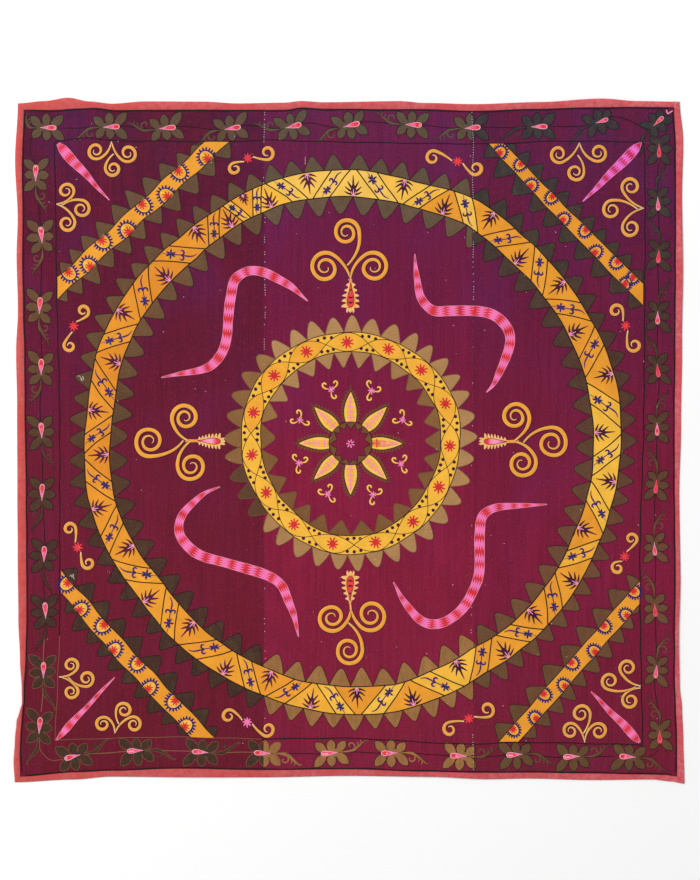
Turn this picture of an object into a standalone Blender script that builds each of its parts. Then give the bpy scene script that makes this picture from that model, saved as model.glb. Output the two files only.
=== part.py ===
"""An embroidered hanging of three sewn loom widths, bound round its edge with folded coral strips.

Metres, +Z up. The cloth lies face up on a flat surface: X runs across it, +Y towards its top edge,
and the origin is the middle of its footprint, level with what it lies on.
"""

import math

import bmesh
import bpy
from mathutils import Vector

# Cloth sizes in metres
PANEL_THICKNESS = 0.0015
BINDING_THICKNESS = 0.0010
GAP = 0.0003
FOLD_RADIUS = 0.0012
PANEL_EDGE_DEPTH = 0.0022
BINDING_HEIGHT = 2 * BINDING_THICKNESS + 2 * GAP + PANEL_THICKNESS
PANEL_LIFT = BINDING_THICKNESS + GAP
MITRE_TRIM = GAP / math.sqrt(2)

# Stations across and along the cloth, with a seam at two of the stations across
ACROSS = 35
ALONG = 48
LEFT_SEAM = 13
RIGHT_SEAM = 24

# Stations next to an edge that stay raised with the binding, and the reach of a raised edge
RAISED_STATIONS = 1
EDGE_BUMP_REACH = 0.26

MILLIMETRE = 0.001

CORNERS = {
    "top_left": (-1.026, 1.046),
    "top_right": (1.025, 1.051),
    "bottom_left": (-1.036, -1.058),
    "bottom_right": (1.040, -1.063),
}

# A side runs from its start corner to its end corner, and the binding lies inward of it
SIDES = {
    "top": {"start": "top_left", "end": "top_right", "tangent": (1, 0), "inward": (0, -1)},
    "bottom": {"start": "bottom_left", "end": "bottom_right", "tangent": (1, 0), "inward": (0, 1)},
    "left": {"start": "bottom_left", "end": "top_left", "tangent": (0, 1), "inward": (1, 0)},
    "right": {"start": "bottom_right", "end": "top_right", "tangent": (0, 1), "inward": (-1, 0)},
}

# Columns: place along the side (m), bulge outside the straight side (mm), binding width (mm)
EDGE_SHAPES = {
    "top": [
        (-1.026, 0, 20), (-0.942, 7, 28), (-0.871, 17, 34), (-0.803, 5, 20), (-0.734, -2, 20),
        (-0.632, 5, 26), (-0.455, 4, 25), (-0.341, -2, 20), (-0.201, 0, 22), (-0.148, 5, 20),
        (-0.077, 1, 20), (0.158, 4, 25), (0.239, -2, 19), (0.388, -6, 21), (0.592, 0, 21),
        (0.782, 10, 27), (0.899, 2, 18), (1.025, 0, 17),
    ],
    "bottom": [
        (-1.036, 0, 17), (-0.855, -9, 22), (-0.737, -18, 18), (-0.539, -17, 26), (-0.269, -17, 22),
        (0.000, -22, 20), (0.251, -20, 15), (0.431, -13, 19), (0.558, -15, 18), (0.757, -11, 20),
        (0.940, -13, 15), (1.000, -7, 20), (1.040, 0, 22),
    ],
    "left": [
        (-1.058, 0, 17), (-0.996, 4, 19), (-0.928, 0, 17), (-0.869, -5, 16), (-0.841, -14, 9),
        (-0.813, -22, 5), (-0.772, -21, 6), (-0.680, -15, 17), (-0.553, -9, 25), (-0.342, -6, 26),
        (-0.171, -4, 26), (0.108, -2, 23), (0.281, 2, 25), (0.399, -3, 16), (0.582, 2, 17),
        (0.684, -1, 15), (0.873, 8, 25), (1.046, 0, 20),
    ],
    "right": [
        (-1.063, 0, 22), (-0.915, -3, 19), (-0.829, -6, 19), (-0.757, -13, 14), (-0.621, -15, 11),
        (-0.413, -8, 14), (-0.171, -10, 13), (0.049, -3, 19), (0.297, 2, 20), (0.535, 6, 21),
        (0.746, 5, 18), (0.932, 10, 22), (1.051, 0, 17),
    ],
}

# Where the edge doesn't lie flat: side, place along it (m), half length (m), height (mm)
EDGE_BUMPS = [
    ("left", -0.790, 0.21, 3.5),
    ("top", -0.800, 0.22, 2.6),
    ("top", 0.760, 0.24, 2.6),
    ("right", -0.600, 0.26, 3.0),
    ("right", 0.560, 0.24, 2.0),
    ("bottom", -0.450, 0.24, 2.0),
    ("bottom", 0.300, 0.22, 1.8),
]

# Soft creases left by folding: start (x, y), end (x, y), half width (m), height (mm)
CREASES = [
    ((0.760, -0.520), (0.500, -0.760), 0.085, 2.2),
    ((0.420, -0.348), (0.860, -0.348), 0.080, 1.6),
    ((-0.760, 0.190), (-0.760, -0.420), 0.090, 1.4),
]

GROUND_COLOURS = {
    "panel_left": (0.118, 0.012, 0.038),
    "panel_centre": (0.150, 0.013, 0.042),
    "panel_right": (0.140, 0.013, 0.046),
}
BINDING_COLOUR = (0.680, 0.110, 0.110)
CLOTH_ROUGHNESS = 0.9


def clear_scene():
    """Remove every object of the file that the script was started in."""
    for found in list(bpy.data.objects):
        bpy.data.objects.remove(found, do_unlink=True)


def cloth_material(name, colour):
    """A matt woven finish in one colour."""
    material = bpy.data.materials.new(name)
    material.use_nodes = True
    shader = material.node_tree.nodes["Principled BSDF"]
    shader.inputs["Base Color"].default_value = (*colour, 1.0)
    shader.inputs["Roughness"].default_value = CLOTH_ROUGHNESS
    shader.inputs["Metallic"].default_value = 0.0
    return material


def ease(share):
    """Smooth step from 0 to 1, with level ends."""
    share = min(max(share, 0.0), 1.0)
    return share * share * (3 - 2 * share)


def corner_ends(side):
    """The two outer corners of a side, as vectors."""
    facts = SIDES[side]
    return Vector(CORNERS[facts["start"]]), Vector(CORNERS[facts["end"]])


def edge_shape(side, share):
    """Bulge and binding width in metres at a share of the side's length."""
    rows = EDGE_SHAPES[side]
    place = rows[0][0] + share * (rows[-1][0] - rows[0][0])
    for (start, bulge_a, width_a), (end, bulge_b, width_b) in zip(rows, rows[1:]):
        if place <= end or end == rows[-1][0]:
            mix = ease((place - start) / (end - start))
            bulge = bulge_a + mix * (bulge_b - bulge_a)
            width = width_a + mix * (width_b - width_a)
            return bulge * MILLIMETRE, width * MILLIMETRE
    raise ValueError(side)


def side_point(side, share, depth):
    """The point a depth inward of the side's edge; both ends draw in to meet the next side's mitre."""
    start, end = corner_ends(side)
    tangent = Vector(SIDES[side]["tangent"])
    inward = Vector(SIDES[side]["inward"])
    bulge, _ = edge_shape(side, share)
    chord = start.lerp(end, share)
    return chord + tangent * depth * (1 - 2 * share) + inward * (depth - bulge)


def edge_bump(side, point):
    """How far the cloth beside a point of that side stands off the surface."""
    place = point.dot(Vector(SIDES[side]["tangent"]))
    height = 0.0
    for bump_side, centre, reach, rise in EDGE_BUMPS:
        if bump_side == side:
            height += rise * MILLIMETRE * ease(1 - abs(place - centre) / reach)
    return height


def crease_height(point):
    """The height of the soft creases at a point of the cloth."""
    height = 0.0
    for start, end, reach, rise in CREASES:
        start, end = Vector(start), Vector(end)
        line = end - start
        along = min(max((point - start).dot(line) / line.length_squared, 0.0), 1.0)
        distance = (point - start - line * along).length
        height += rise * MILLIMETRE * ease(1 - distance / reach) * ease(2 * min(along, 1 - along))
    return height


def panel_edge(side, share):
    """Where the ground cloth ends inside the binding's fold."""
    return side_point(side, share, PANEL_EDGE_DEPTH)


def cloth_point(across, along):
    """A point of the ground cloth from its shares of the width and the length, between its four edges."""
    bottom, top = panel_edge("bottom", across), panel_edge("top", across)
    left, right = panel_edge("left", along), panel_edge("right", along)
    between_ends = bottom.lerp(top, along) + left.lerp(right, across)
    low = panel_edge("bottom", 0).lerp(panel_edge("bottom", 1), across)
    high = panel_edge("top", 0).lerp(panel_edge("top", 1), across)
    return between_ends - low.lerp(high, along)


def bump_share(distance_stations, spacing):
    """How much of an edge's bump is left some stations in: all of it beside the binding, then less."""
    inside = max(distance_stations - RAISED_STATIONS, 0) * spacing
    return ease(1 - inside / EDGE_BUMP_REACH)


def cloth_height(column, row, point):
    """The underside's height at a station of the cloth."""
    nearest = min(column, ACROSS - column, row, ALONG - row)
    height = PANEL_LIFT if nearest <= RAISED_STATIONS else crease_height(point)
    spacing_x = (CORNERS["top_right"][0] - CORNERS["top_left"][0]) / ACROSS
    spacing_y = (CORNERS["top_left"][1] - CORNERS["bottom_left"][1]) / ALONG
    height += edge_bump("left", point) * bump_share(column, spacing_x)
    height += edge_bump("right", point) * bump_share(ACROSS - column, spacing_x)
    height += edge_bump("bottom", point) * bump_share(row, spacing_y)
    height += edge_bump("top", point) * bump_share(ALONG - row, spacing_y)
    return height


def seam_shift(column, first, last):
    """Half the seam's gap, drawn in from a panel's own seam edges."""
    if column == first and first > 0:
        return GAP / 2
    if column == last and last < ACROSS:
        return -GAP / 2
    return 0.0


def add_object(name, bm, material):
    """Turn a bmesh into a named object with one material."""
    bmesh.ops.recalc_face_normals(bm, faces=bm.faces)
    mesh = bpy.data.meshes.new(name)
    bm.to_mesh(mesh)
    bm.free()
    mesh.materials.append(material)
    piece = bpy.data.objects.new(name, mesh)
    bpy.context.scene.collection.objects.link(piece)
    return piece


def loom_panel(name, first, last):
    """One loom width: a grid between two columns of stations, made solid by its thickness."""
    columns = last - first
    bm = bmesh.new()
    bmesh.ops.create_grid(bm, x_segments=columns, y_segments=ALONG, size=0.5)
    for vert in bm.verts:
        column = first + round((vert.co.x + 0.5) * columns)
        row = round((vert.co.y + 0.5) * ALONG)
        point = cloth_point(column / ACROSS, row / ALONG)
        shift = seam_shift(column, first, last)
        vert.co = (point.x + shift, point.y, cloth_height(column, row, point))
    panel = add_object(name, bm, cloth_material(f"{name}_cotton", GROUND_COLOURS[name]))
    if panel.data.polygons[0].normal.z < 0:
        panel.data.flip_normals()
    thickness = panel.modifiers.new("thickness", "SOLIDIFY")
    thickness.thickness = PANEL_THICKNESS
    thickness.offset = 1.0
    return panel


def binding_profile(width):
    """The folded strip's section as (depth inward, height), once round from the lower lip."""
    top = BINDING_HEIGHT
    return [
        (width, 0.0),
        (FOLD_RADIUS, 0.0),
        (0.0, FOLD_RADIUS),
        (0.0, top - FOLD_RADIUS),
        (FOLD_RADIUS, top),
        (width, top),
        (width, top - BINDING_THICKNESS),
        (BINDING_THICKNESS, top - BINDING_THICKNESS),
        (BINDING_THICKNESS, BINDING_THICKNESS),
        (width, BINDING_THICKNESS),
    ]


def binding_section(bm, side, station, stations):
    """The verts of one section of a binding strip, trimmed at the two mitres."""
    share = station / stations
    _, width = edge_shape(side, share)
    trim = {0: MITRE_TRIM, stations: -MITRE_TRIM}.get(station, 0.0)
    shift = Vector(SIDES[side]["tangent"]) * trim
    verts = []
    for depth, height in binding_profile(width):
        point = side_point(side, share, depth) + shift
        verts.append(bm.verts.new((point.x, point.y, edge_bump(side, point) + height)))
    return verts


def binding_strip(side, material):
    """A strip folded over the raw edge of one side, from mitre to mitre."""
    stations = ACROSS if side in ("top", "bottom") else ALONG
    bm = bmesh.new()
    sections = [binding_section(bm, side, k, stations) for k in range(stations + 1)]
    for near, far in zip(sections, sections[1:]):
        for i in range(len(near)):
            following = (i + 1) % len(near)
            bm.faces.new((near[i], near[following], far[following], far[i]))
    bm.faces.new(sections[0])
    bm.faces.new(sections[-1])
    return add_object(f"binding_{side}", bm, material)


def build():
    """Model the three loom widths and the four binding strips."""
    clear_scene()
    loom_panel("panel_left", 0, LEFT_SEAM)
    loom_panel("panel_centre", LEFT_SEAM, RIGHT_SEAM)
    loom_panel("panel_right", RIGHT_SEAM, ACROSS)
    coral = cloth_material("binding_cotton", BINDING_COLOUR)
    for side in SIDES:
        binding_strip(side, coral)


build()
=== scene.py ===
"""The looks of an embroidered hanging that lies face up: its cloth, binding and raised thread work.

Plan sizes are in millimetres from the middle of the cloth, with +Y towards its top edge, until
they become mesh points in metres. Heights are millimetres above the cloth's own surface.
"""

import math

import bpy
import numpy as np
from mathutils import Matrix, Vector
from mathutils.geometry import delaunay_2d_cdt


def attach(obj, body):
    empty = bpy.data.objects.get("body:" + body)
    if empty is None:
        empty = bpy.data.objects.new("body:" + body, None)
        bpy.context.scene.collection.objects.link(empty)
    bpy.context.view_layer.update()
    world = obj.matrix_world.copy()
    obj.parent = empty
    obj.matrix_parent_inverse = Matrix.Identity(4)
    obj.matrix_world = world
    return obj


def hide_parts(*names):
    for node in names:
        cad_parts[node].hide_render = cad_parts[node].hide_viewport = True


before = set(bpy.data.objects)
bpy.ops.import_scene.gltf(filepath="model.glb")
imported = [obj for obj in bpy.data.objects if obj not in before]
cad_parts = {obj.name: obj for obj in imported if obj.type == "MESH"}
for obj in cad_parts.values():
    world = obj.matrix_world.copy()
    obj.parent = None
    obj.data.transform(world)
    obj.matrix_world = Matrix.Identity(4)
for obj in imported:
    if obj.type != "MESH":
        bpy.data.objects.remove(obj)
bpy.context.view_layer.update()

MM = 0.001
PANEL_THICKNESS = 1.5
BINDING_THICKNESS = 1.0
LAYER_GAP = 0.3
RIM_LIFT = BINDING_THICKNESS + LAYER_GAP
BINDING_HEIGHT = 2 * RIM_LIFT + PANEL_THICKNESS
PANEL_EDGE_DEPTH = 2.2
RAISED_RIM = 45.0
FLAT_FROM = 95.0
BUMP_REACH = 260.0
PUCKER_RISE = 0.16
CLOTH_WIDTH = 2050.0
CLOTH_LENGTH = 2100.0

CORNERS = {
    "top_left": (-1026, 1046),
    "top_right": (1025, 1051),
    "bottom_left": (-1036, -1058),
    "bottom_right": (1040, -1063),
}

# A side runs from its start corner to its end corner, and the binding lies inward of it
SIDES = {
    "top": {"start": "top_left", "end": "top_right", "tangent": (1, 0), "inward": (0, -1)},
    "bottom": {"start": "bottom_left", "end": "bottom_right", "tangent": (1, 0), "inward": (0, 1)},
    "left": {"start": "bottom_left", "end": "top_left", "tangent": (0, 1), "inward": (1, 0)},
    "right": {"start": "bottom_right", "end": "top_right", "tangent": (0, 1), "inward": (-1, 0)},
}

# Columns: place along the side, bulge outside the straight side, binding width
EDGE_SHAPES = {
    "top": [
        (-1026, 0, 20), (-942, 7, 28), (-871, 17, 34), (-803, 5, 20), (-734, -2, 20),
        (-632, 5, 26), (-455, 4, 25), (-341, -2, 20), (-201, 0, 22), (-148, 5, 20),
        (-77, 1, 20), (158, 4, 25), (239, -2, 19), (388, -6, 21), (592, 0, 21),
        (782, 10, 27), (899, 2, 18), (1025, 0, 17),
    ],
    "bottom": [
        (-1036, 0, 17), (-855, -9, 22), (-737, -18, 18), (-539, -17, 26), (-269, -17, 22),
        (0, -22, 20), (251, -20, 15), (431, -13, 19), (558, -15, 18), (757, -11, 20),
        (940, -13, 15), (1000, -7, 20), (1040, 0, 22),
    ],
    "left": [
        (-1058, 0, 17), (-996, 4, 19), (-928, 0, 17), (-869, -5, 16), (-841, -14, 9),
        (-813, -22, 5), (-772, -21, 6), (-680, -15, 17), (-553, -9, 25), (-342, -6, 26),
        (-171, -4, 26), (108, -2, 23), (281, 2, 25), (399, -3, 16), (582, 2, 17),
        (684, -1, 15), (873, 8, 21), (1046, 0, 18),
    ],
    "right": [
        (-1063, 0, 22), (-915, -3, 19), (-829, -6, 19), (-757, -13, 14), (-621, -15, 11),
        (-413, -8, 14), (-171, -10, 13), (49, -3, 19), (297, 2, 20), (535, 6, 21),
        (746, 5, 18), (932, 10, 22), (1051, 0, 17),
    ],
}

# Where the edge doesn't lie flat: side, place along it, half length, height
EDGE_BUMPS = [
    ("left", -790, 210, 3.5),
    ("top", -800, 220, 2.6),
    ("top", 760, 240, 2.6),
    ("right", -600, 260, 3.0),
    ("right", 560, 240, 2.0),
    ("bottom", -450, 240, 2.0),
    ("bottom", 300, 220, 1.8),
]

# Soft creases left by folding: start, end, half width, height
CREASES = [
    ((760, -520), (500, -760), 85, 2.2),
    ((420, -348), (860, -348), 80, 1.6),
    ((-760, 190), (-760, -420), 90, 1.4),
]

LEFT_SEAM = 13 / 35
RIGHT_SEAM = 24 / 35
SEAM_GAP = 0.3

# The same two seams and the cloth's half length as the materials need them, in metres
LEFT_SEAM_X = -0.2645
RIGHT_SEAM_X = {"bottom": 0.387, "top": 0.380}
HALF_LENGTH = 1.05

# Colours of each loom width from the bottom edge (0) to the top edge (1)
GROUND_COLOURS = {
    "left": [
        (0.0, "#661a28"), (0.3, "#6f1b2f"), (0.45, "#6a1b31"), (0.6, "#621931"), (0.85, "#591832"),
        (1.0, "#4f1b33"),
    ],
    "centre": [
        (0.0, "#80203a"), (0.3, "#881e3b"), (0.44, "#871e3c"), (0.56, "#7c1c3e"), (0.7, "#6f1b40"),
        (0.82, "#681c43"), (1.0, "#602249"),
    ],
    "right": [
        (0.0, "#721e33"), (0.3, "#7f1c3b"), (0.45, "#7a1c3a"), (0.57, "#711b3a"), (0.8, "#5f1b42"),
        (1.0, "#581f44"),
    ],
}
LEAF_COLOURS = {
    "left": [
        (0.0, "#38271c"), (0.3, "#3c2420"), (0.45, "#483020"), (0.58, "#5c4029"), (0.7, "#67492e"),
        (1.0, "#574637"),
    ],
    "centre": [(0.0, "#a07040"), (0.25, "#976a3c"), (0.5, "#7d5c38"), (0.75, "#604c39"), (1.0, "#544a3c")],
    "right": [
        (0.0, "#62452a"), (0.3, "#6c4730"), (0.6, "#472f26"), (0.8, "#362e2b"), (0.93, "#2c2e34"),
        (1.0, "#282e38"),
    ],
}


def ease(share):
    """Smooth step from 0 to 1, with level ends."""
    share = np.clip(share, 0.0, 1.0)
    return share * share * (3 - 2 * share)


def lerp(a, b, share):
    """Points between a and b, one for each share."""
    a, b = np.asarray(a, float), np.asarray(b, float)
    return a + (b - a) * np.asarray(share, float)[..., None]


def edge_shape(side, share):
    """Bulge and binding width at shares of the side's length."""
    rows = np.array(EDGE_SHAPES[side], float)
    place = rows[0, 0] + np.asarray(share, float) * (rows[-1, 0] - rows[0, 0])
    row = np.clip(np.searchsorted(rows[:, 0], place) - 1, 0, len(rows) - 2)
    mix = ease((place - rows[row, 0]) / (rows[row + 1, 0] - rows[row, 0]))
    bulge = rows[row, 1] + mix * (rows[row + 1, 1] - rows[row, 1])
    width = rows[row, 2] + mix * (rows[row + 1, 2] - rows[row, 2])
    return bulge, width


def side_points(side, share, depth):
    """Points a depth inward of the side's edge, drawn in at both ends to meet the mitres."""
    facts = SIDES[side]
    share = np.asarray(share, float)
    depth = np.broadcast_to(np.asarray(depth, float), share.shape)
    bulge, _ = edge_shape(side, share)
    chord = lerp(CORNERS[facts["start"]], CORNERS[facts["end"]], share)
    along = (depth * (1 - 2 * share))[:, None] * np.array(facts["tangent"], float)
    inward = (depth - bulge)[:, None] * np.array(facts["inward"], float)
    return chord + along + inward


def cloth_points(across, along):
    """Points of the ground cloth from shares of its width and length, between its four edges."""
    bottom, top = (side_points(s, across, PANEL_EDGE_DEPTH) for s in ("bottom", "top"))
    left, right = (side_points(s, along, PANEL_EDGE_DEPTH) for s in ("left", "right"))
    ends = [side_points(s, [0.0, 1.0], PANEL_EDGE_DEPTH) for s in ("bottom", "top")]
    low, high = (lerp(pair[0], pair[1], across) for pair in ends)
    share = np.asarray(along)[:, None]
    return bottom + (top - bottom) * share + lerp_rows(left, right, across) - low - (high - low) * share


def lerp_rows(a, b, share):
    """Row by row mix of two arrays of points."""
    return a + (b - a) * np.asarray(share, float)[:, None]


def side_distance(side, points):
    """How far points lie inward of a side, and their share of its length."""
    facts = SIDES[side]
    start, end = (np.array(CORNERS[facts[k]], float) for k in ("start", "end"))
    tangent, inward = (np.array(facts[k], float) for k in ("tangent", "inward"))
    share = np.clip((points - start) @ tangent / ((end - start) @ tangent), 0, 1)
    bulge, _ = edge_shape(side, share)
    chord = lerp(start, end, share)
    return ((points - chord) * inward).sum(1) + bulge, share


def underside(points):
    """Height of the cloth's underside: the rim, the raised edges, the creases and fine puckers."""
    x, y = points[:, 0], points[:, 1]
    height = np.zeros(len(points))
    nearest = np.full(len(points), 1e9)
    for side, facts in SIDES.items():
        distance, _ = side_distance(side, points)
        nearest = np.minimum(nearest, distance)
        place = points @ np.array(facts["tangent"], float)
        fade = ease(1 - np.maximum(distance - RAISED_RIM, 0) / BUMP_REACH)
        for bump_side, centre, reach, rise in EDGE_BUMPS:
            if bump_side == side:
                height += rise * ease(1 - np.abs(place - centre) / reach) * fade
    for start, end, reach, rise in CREASES:
        start, line = np.array(start, float), np.array(end, float) - np.array(start, float)
        along = np.clip((points - start) @ line / (line @ line), 0, 1)
        distance = np.hypot(*(points - start - along[:, None] * line).T)
        height += rise * ease(1 - distance / reach) * ease(2 * np.minimum(along, 1 - along))
    inside = ease((nearest - RAISED_RIM) / (FLAT_FROM - RAISED_RIM))
    pucker = np.sin(x / 31 + 1.7 * np.sin(y / 83)) * np.sin(y / 43 + 1.3 * np.sin(x / 71))
    return height + RIM_LIFT * (1 - inside) + PUCKER_RISE * inside * (1 + pucker)


def face(points):
    """Height of the cloth's upper face."""
    return underside(points) + PANEL_THICKNESS


def linear(code):
    """A hex colour as linear red, green, blue and alpha."""
    values = [int(code[i:i + 2], 16) / 255 for i in (1, 3, 5)]
    return (*((v / 12.92 if v <= 0.04045 else ((v + 0.055) / 1.055) ** 2.4) for v in values), 1.0)


class Finish:
    """One Principled material, and short ways to add the nodes that pattern it."""

    def __init__(self, name, roughness, shine=0.12, **sockets):
        self.material = bpy.data.materials.new(name)
        self.material.use_nodes = True
        self.tree = self.material.node_tree
        self.shader = self.tree.nodes["Principled BSDF"]
        self.shader.inputs["Roughness"].default_value = roughness
        self.shader.inputs["Specular IOR Level"].default_value = shine
        for socket, value in sockets.items():
            self.shader.inputs[socket.replace("_", " ")].default_value = value
        self.place = self.step("ShaderNodeTexCoord", {}, "Object")

    def step(self, kind, inputs, output=0, **settings):
        """Add a node; an input given as another node's output is linked."""
        node = self.tree.nodes.new(kind)
        for key, value in settings.items():
            setattr(node, key, value)
        for key, value in inputs.items():
            if isinstance(value, bpy.types.NodeSocket):
                self.tree.links.new(value, node.inputs[key])
            else:
                node.inputs[key].default_value = value
        return node.outputs[output]

    def math(self, operation, a, b=0.0):
        return self.step("ShaderNodeMath", {0: a, 1: b}, operation=operation)

    def mix(self, share, a, b, blend="MIX"):
        """Mix of two colours, each a node output or a hex code."""
        a, b = (linear(c) if isinstance(c, str) else c for c in (a, b))
        inputs = {0: share, 6: a, 7: b}
        return self.step("ShaderNodeMix", inputs, 2, data_type="RGBA", blend_type=blend)

    def band(self, value, low, high, out_low=0.0, out_high=1.0):
        """Map a value's range onto another, clamped."""
        inputs = {0: value, 1: low, 2: high, 3: out_low, 4: out_high}
        return self.step("ShaderNodeMapRange", inputs)

    def noise(self, per_metre, detail=2.0, rough=0.5):
        """Noise with its own frequency along X, Y and Z."""
        scaled = self.step("ShaderNodeVectorMath", {0: self.place, 1: per_metre}, operation="MULTIPLY")
        inputs = {"Vector": scaled, "Scale": 1.0, "Detail": detail, "Roughness": rough}
        return self.step("ShaderNodeTexNoise", inputs)

    def axis(self, name):
        return self.step("ShaderNodeSeparateXYZ", {0: self.place}, name)

    def attribute(self, name):
        """A number that the mesh carries at each point."""
        return self.step("ShaderNodeAttribute", {}, "Fac", attribute_name=name)

    def swing(self, value, noise, depth, low=0.3):
        """Raise and lower a value by up to a depth, as a noise swings about a half."""
        return self.math("ADD", value, self.band(noise, low, 1 - low, -depth, depth))

    def brightness(self, colour, value):
        return self.step("ShaderNodeHueSaturation", {"Value": value, "Color": colour})

    def ramp(self, value, stops):
        """Colours along a value: (place from 0 to 1, hex code) rows."""
        node = self.tree.nodes.new("ShaderNodeValToRGB")
        self.tree.links.new(value, node.inputs[0])
        elements = node.color_ramp.elements
        while len(elements) < len(stops):
            elements.new(0.5)
        for element, (place, code) in zip(elements, stops):
            element.position = place
            element.color = linear(code)
        return node.outputs[0]

    def by_panel(self, left, centre, right):
        """Colours that run from the bottom edge (0) to the top edge (1) of each loom width."""
        x, y = self.axis("X"), self.axis("Y")
        height = self.band(y, -HALF_LENGTH, HALF_LENGTH)
        parts = [self.ramp(height, stops) for stops in (left, centre, right)]
        past_left = self.math("GREATER_THAN", x, LEFT_SEAM_X)
        right_seam = self.band(y, -HALF_LENGTH, HALF_LENGTH, RIGHT_SEAM_X["bottom"], RIGHT_SEAM_X["top"])
        past_right = self.math("GREATER_THAN", x, right_seam)
        return self.mix(past_right, self.mix(past_left, parts[0], parts[1]), parts[2])

    def colour(self, value):
        self.tree.links.new(value, self.shader.inputs["Base Color"])

    def bump(self, value, distance, strength=1.0):
        inputs = {"Height": value, "Distance": distance, "Strength": strength}
        normal = self.step("ShaderNodeBump", inputs)
        self.tree.links.new(normal, self.shader.inputs["Normal"])


def weave_height(finish, threads_per_metre):
    """A plain weave: warp and weft threads, over and under."""
    turn = 2 * math.pi * threads_per_metre
    warp = finish.math("SINE", finish.math("MULTIPLY", finish.axis("X"), turn))
    weft = finish.math("SINE", finish.math("MULTIPLY", finish.axis("Y"), turn))
    return finish.math("MULTIPLY", warp, weft)


def ground_finish():
    """Plum to maroon cotton, each width dyed a little apart, with warp streaks and pale slubs."""
    finish = Finish("ground_cotton_cloth", 0.86, 0.05, Sheen_Weight=0.03, Sheen_Roughness=0.6)
    colour = finish.by_panel(**GROUND_COLOURS)
    streaks = finish.noise((330.0, 8.0, 1.0), 3.0, 0.6)
    bands = finish.noise((75.0, 1.6, 1.0), 2.0, 0.6)
    clouds = finish.noise((5.0, 3.5, 1.0), 3.0, 0.5)
    grain = finish.noise((230.0, 200.0, 1.0), 2.0, 0.75)
    mottle = finish.noise((32.0, 55.0, 1.0), 2.0, 0.65)
    colour = finish.mix(finish.band(mottle, 0.46, 0.64, 0.0, 0.12), colour, "#8c1c34")
    patches = finish.noise((11.0, 7.0, 1.0), 3.0, 0.6)
    colour = finish.mix(finish.band(patches, 0.46, 0.6, 0.0, 0.34), colour, "#701a34")
    upper = finish.band(finish.axis("Y"), -0.6, 1.0, 0.06, 0.24)
    colour = finish.mix(finish.math("MULTIPLY", finish.band(clouds, 0.48, 0.68), upper), colour, "#4a2062")
    light = finish.band(streaks, 0.3, 0.7, 0.86, 1.14)
    light = finish.swing(light, bands, 0.08)
    light = finish.swing(light, clouds, 0.07)
    light = finish.swing(light, grain, 0.17, 0.32)
    colour = finish.brightness(colour, light)
    slubs = finish.noise((520.0, 150.0, 1.0), 1.0, 0.4)
    colour = finish.mix(finish.band(slubs, 0.73, 0.8, 0.0, 0.55), colour, "#b4788c")
    finish.colour(colour)
    finish.bump(weave_height(finish, 700.0), 0.0003, 0.5)
    return finish.material


def binding_finish():
    """Coral cotton streaked along its threads, with a painted highlight along the fold's crest, painted shade
    down its outer and inner edges, and painted light that makes it lighter towards the right edge.
    """
    finish = Finish("binding_cotton_cloth", 0.88, 0.06, Sheen_Weight=0.06, Sheen_Roughness=0.6)
    long_streaks = finish.noise((60.0, 60.0, 1.0), 4.0, 0.65)
    patches = finish.noise((9.0, 7.0, 1.0), 2.0, 0.5)
    colour = finish.mix(finish.band(long_streaks, 0.35, 0.65), "#c24a58", "#d66d70")
    colour = finish.mix(finish.band(patches, 0.4, 0.62, 0.0, 0.55), colour, "#c8444a")
    # The strip turns more orange and a little darker towards the left edge.
    left_orange_share = finish.band(finish.axis("X"), -1.0, 1.0, 0.45, 0.0)
    colour = finish.mix(left_orange_share, colour, "#c8503c")
    # Painted light: the strip is painted lighter towards the right edge.
    colour = finish.brightness(colour, finish.band(finish.axis("X"), 0.5, 1.0, 0.97, 1.06))
    # Painted light from the section's tone: a painted highlight on the fold's crest, painted shade on its
    # outer and inner edges.
    colour = finish.brightness(colour, finish.band(finish.attribute("tone"), 0.0, 1.0, 0.82, 1.06))
    finish.colour(colour)
    finish.bump(weave_height(finish, 620.0), 0.0003, 0.45)
    return finish.material


def floor_finish():
    finish = Finish("pale_floor", 0.9, 0.1)
    finish.shader.inputs["Base Color"].default_value = (0.98, 0.98, 0.978, 1.0)
    return finish.material


def mesh_piece(name, points, faces, material, tone=None, along=None):
    """A named mesh object from points in millimetres, riding on the cloth."""
    mesh = bpy.data.meshes.new(name)
    mesh.from_pydata((np.asarray(points) * MM).tolist(), [], faces)
    mesh.validate()
    for attribute, values in (("tone", tone), ("along", along)):
        if values is not None:
            layer = mesh.attributes.new(attribute, "FLOAT", "POINT")
            layer.data.foreach_set("value", np.asarray(values, np.float32))
    mesh.materials.append(material)
    mesh.shade_smooth()
    mesh.set_sharp_from_angle(angle=math.radians(50))
    piece = bpy.data.objects.new(name, mesh)
    bpy.context.scene.collection.objects.link(piece)
    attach(piece, "root")
    return piece


def grid_faces(rows, columns, offset=0, flip=False):
    """Quads of a grid of points stored row by row."""
    corner = np.arange((rows - 1) * columns).reshape(rows - 1, columns)[:, :-1].ravel() + offset
    quads = np.stack([corner, corner + 1, corner + columns + 1, corner + columns], 1)
    return (quads[:, ::-1] if flip else quads).tolist()


PANEL_STEP = 16.0
SEAM_DIP = 0.7
SEAM_SLOPE = 5.0


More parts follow.
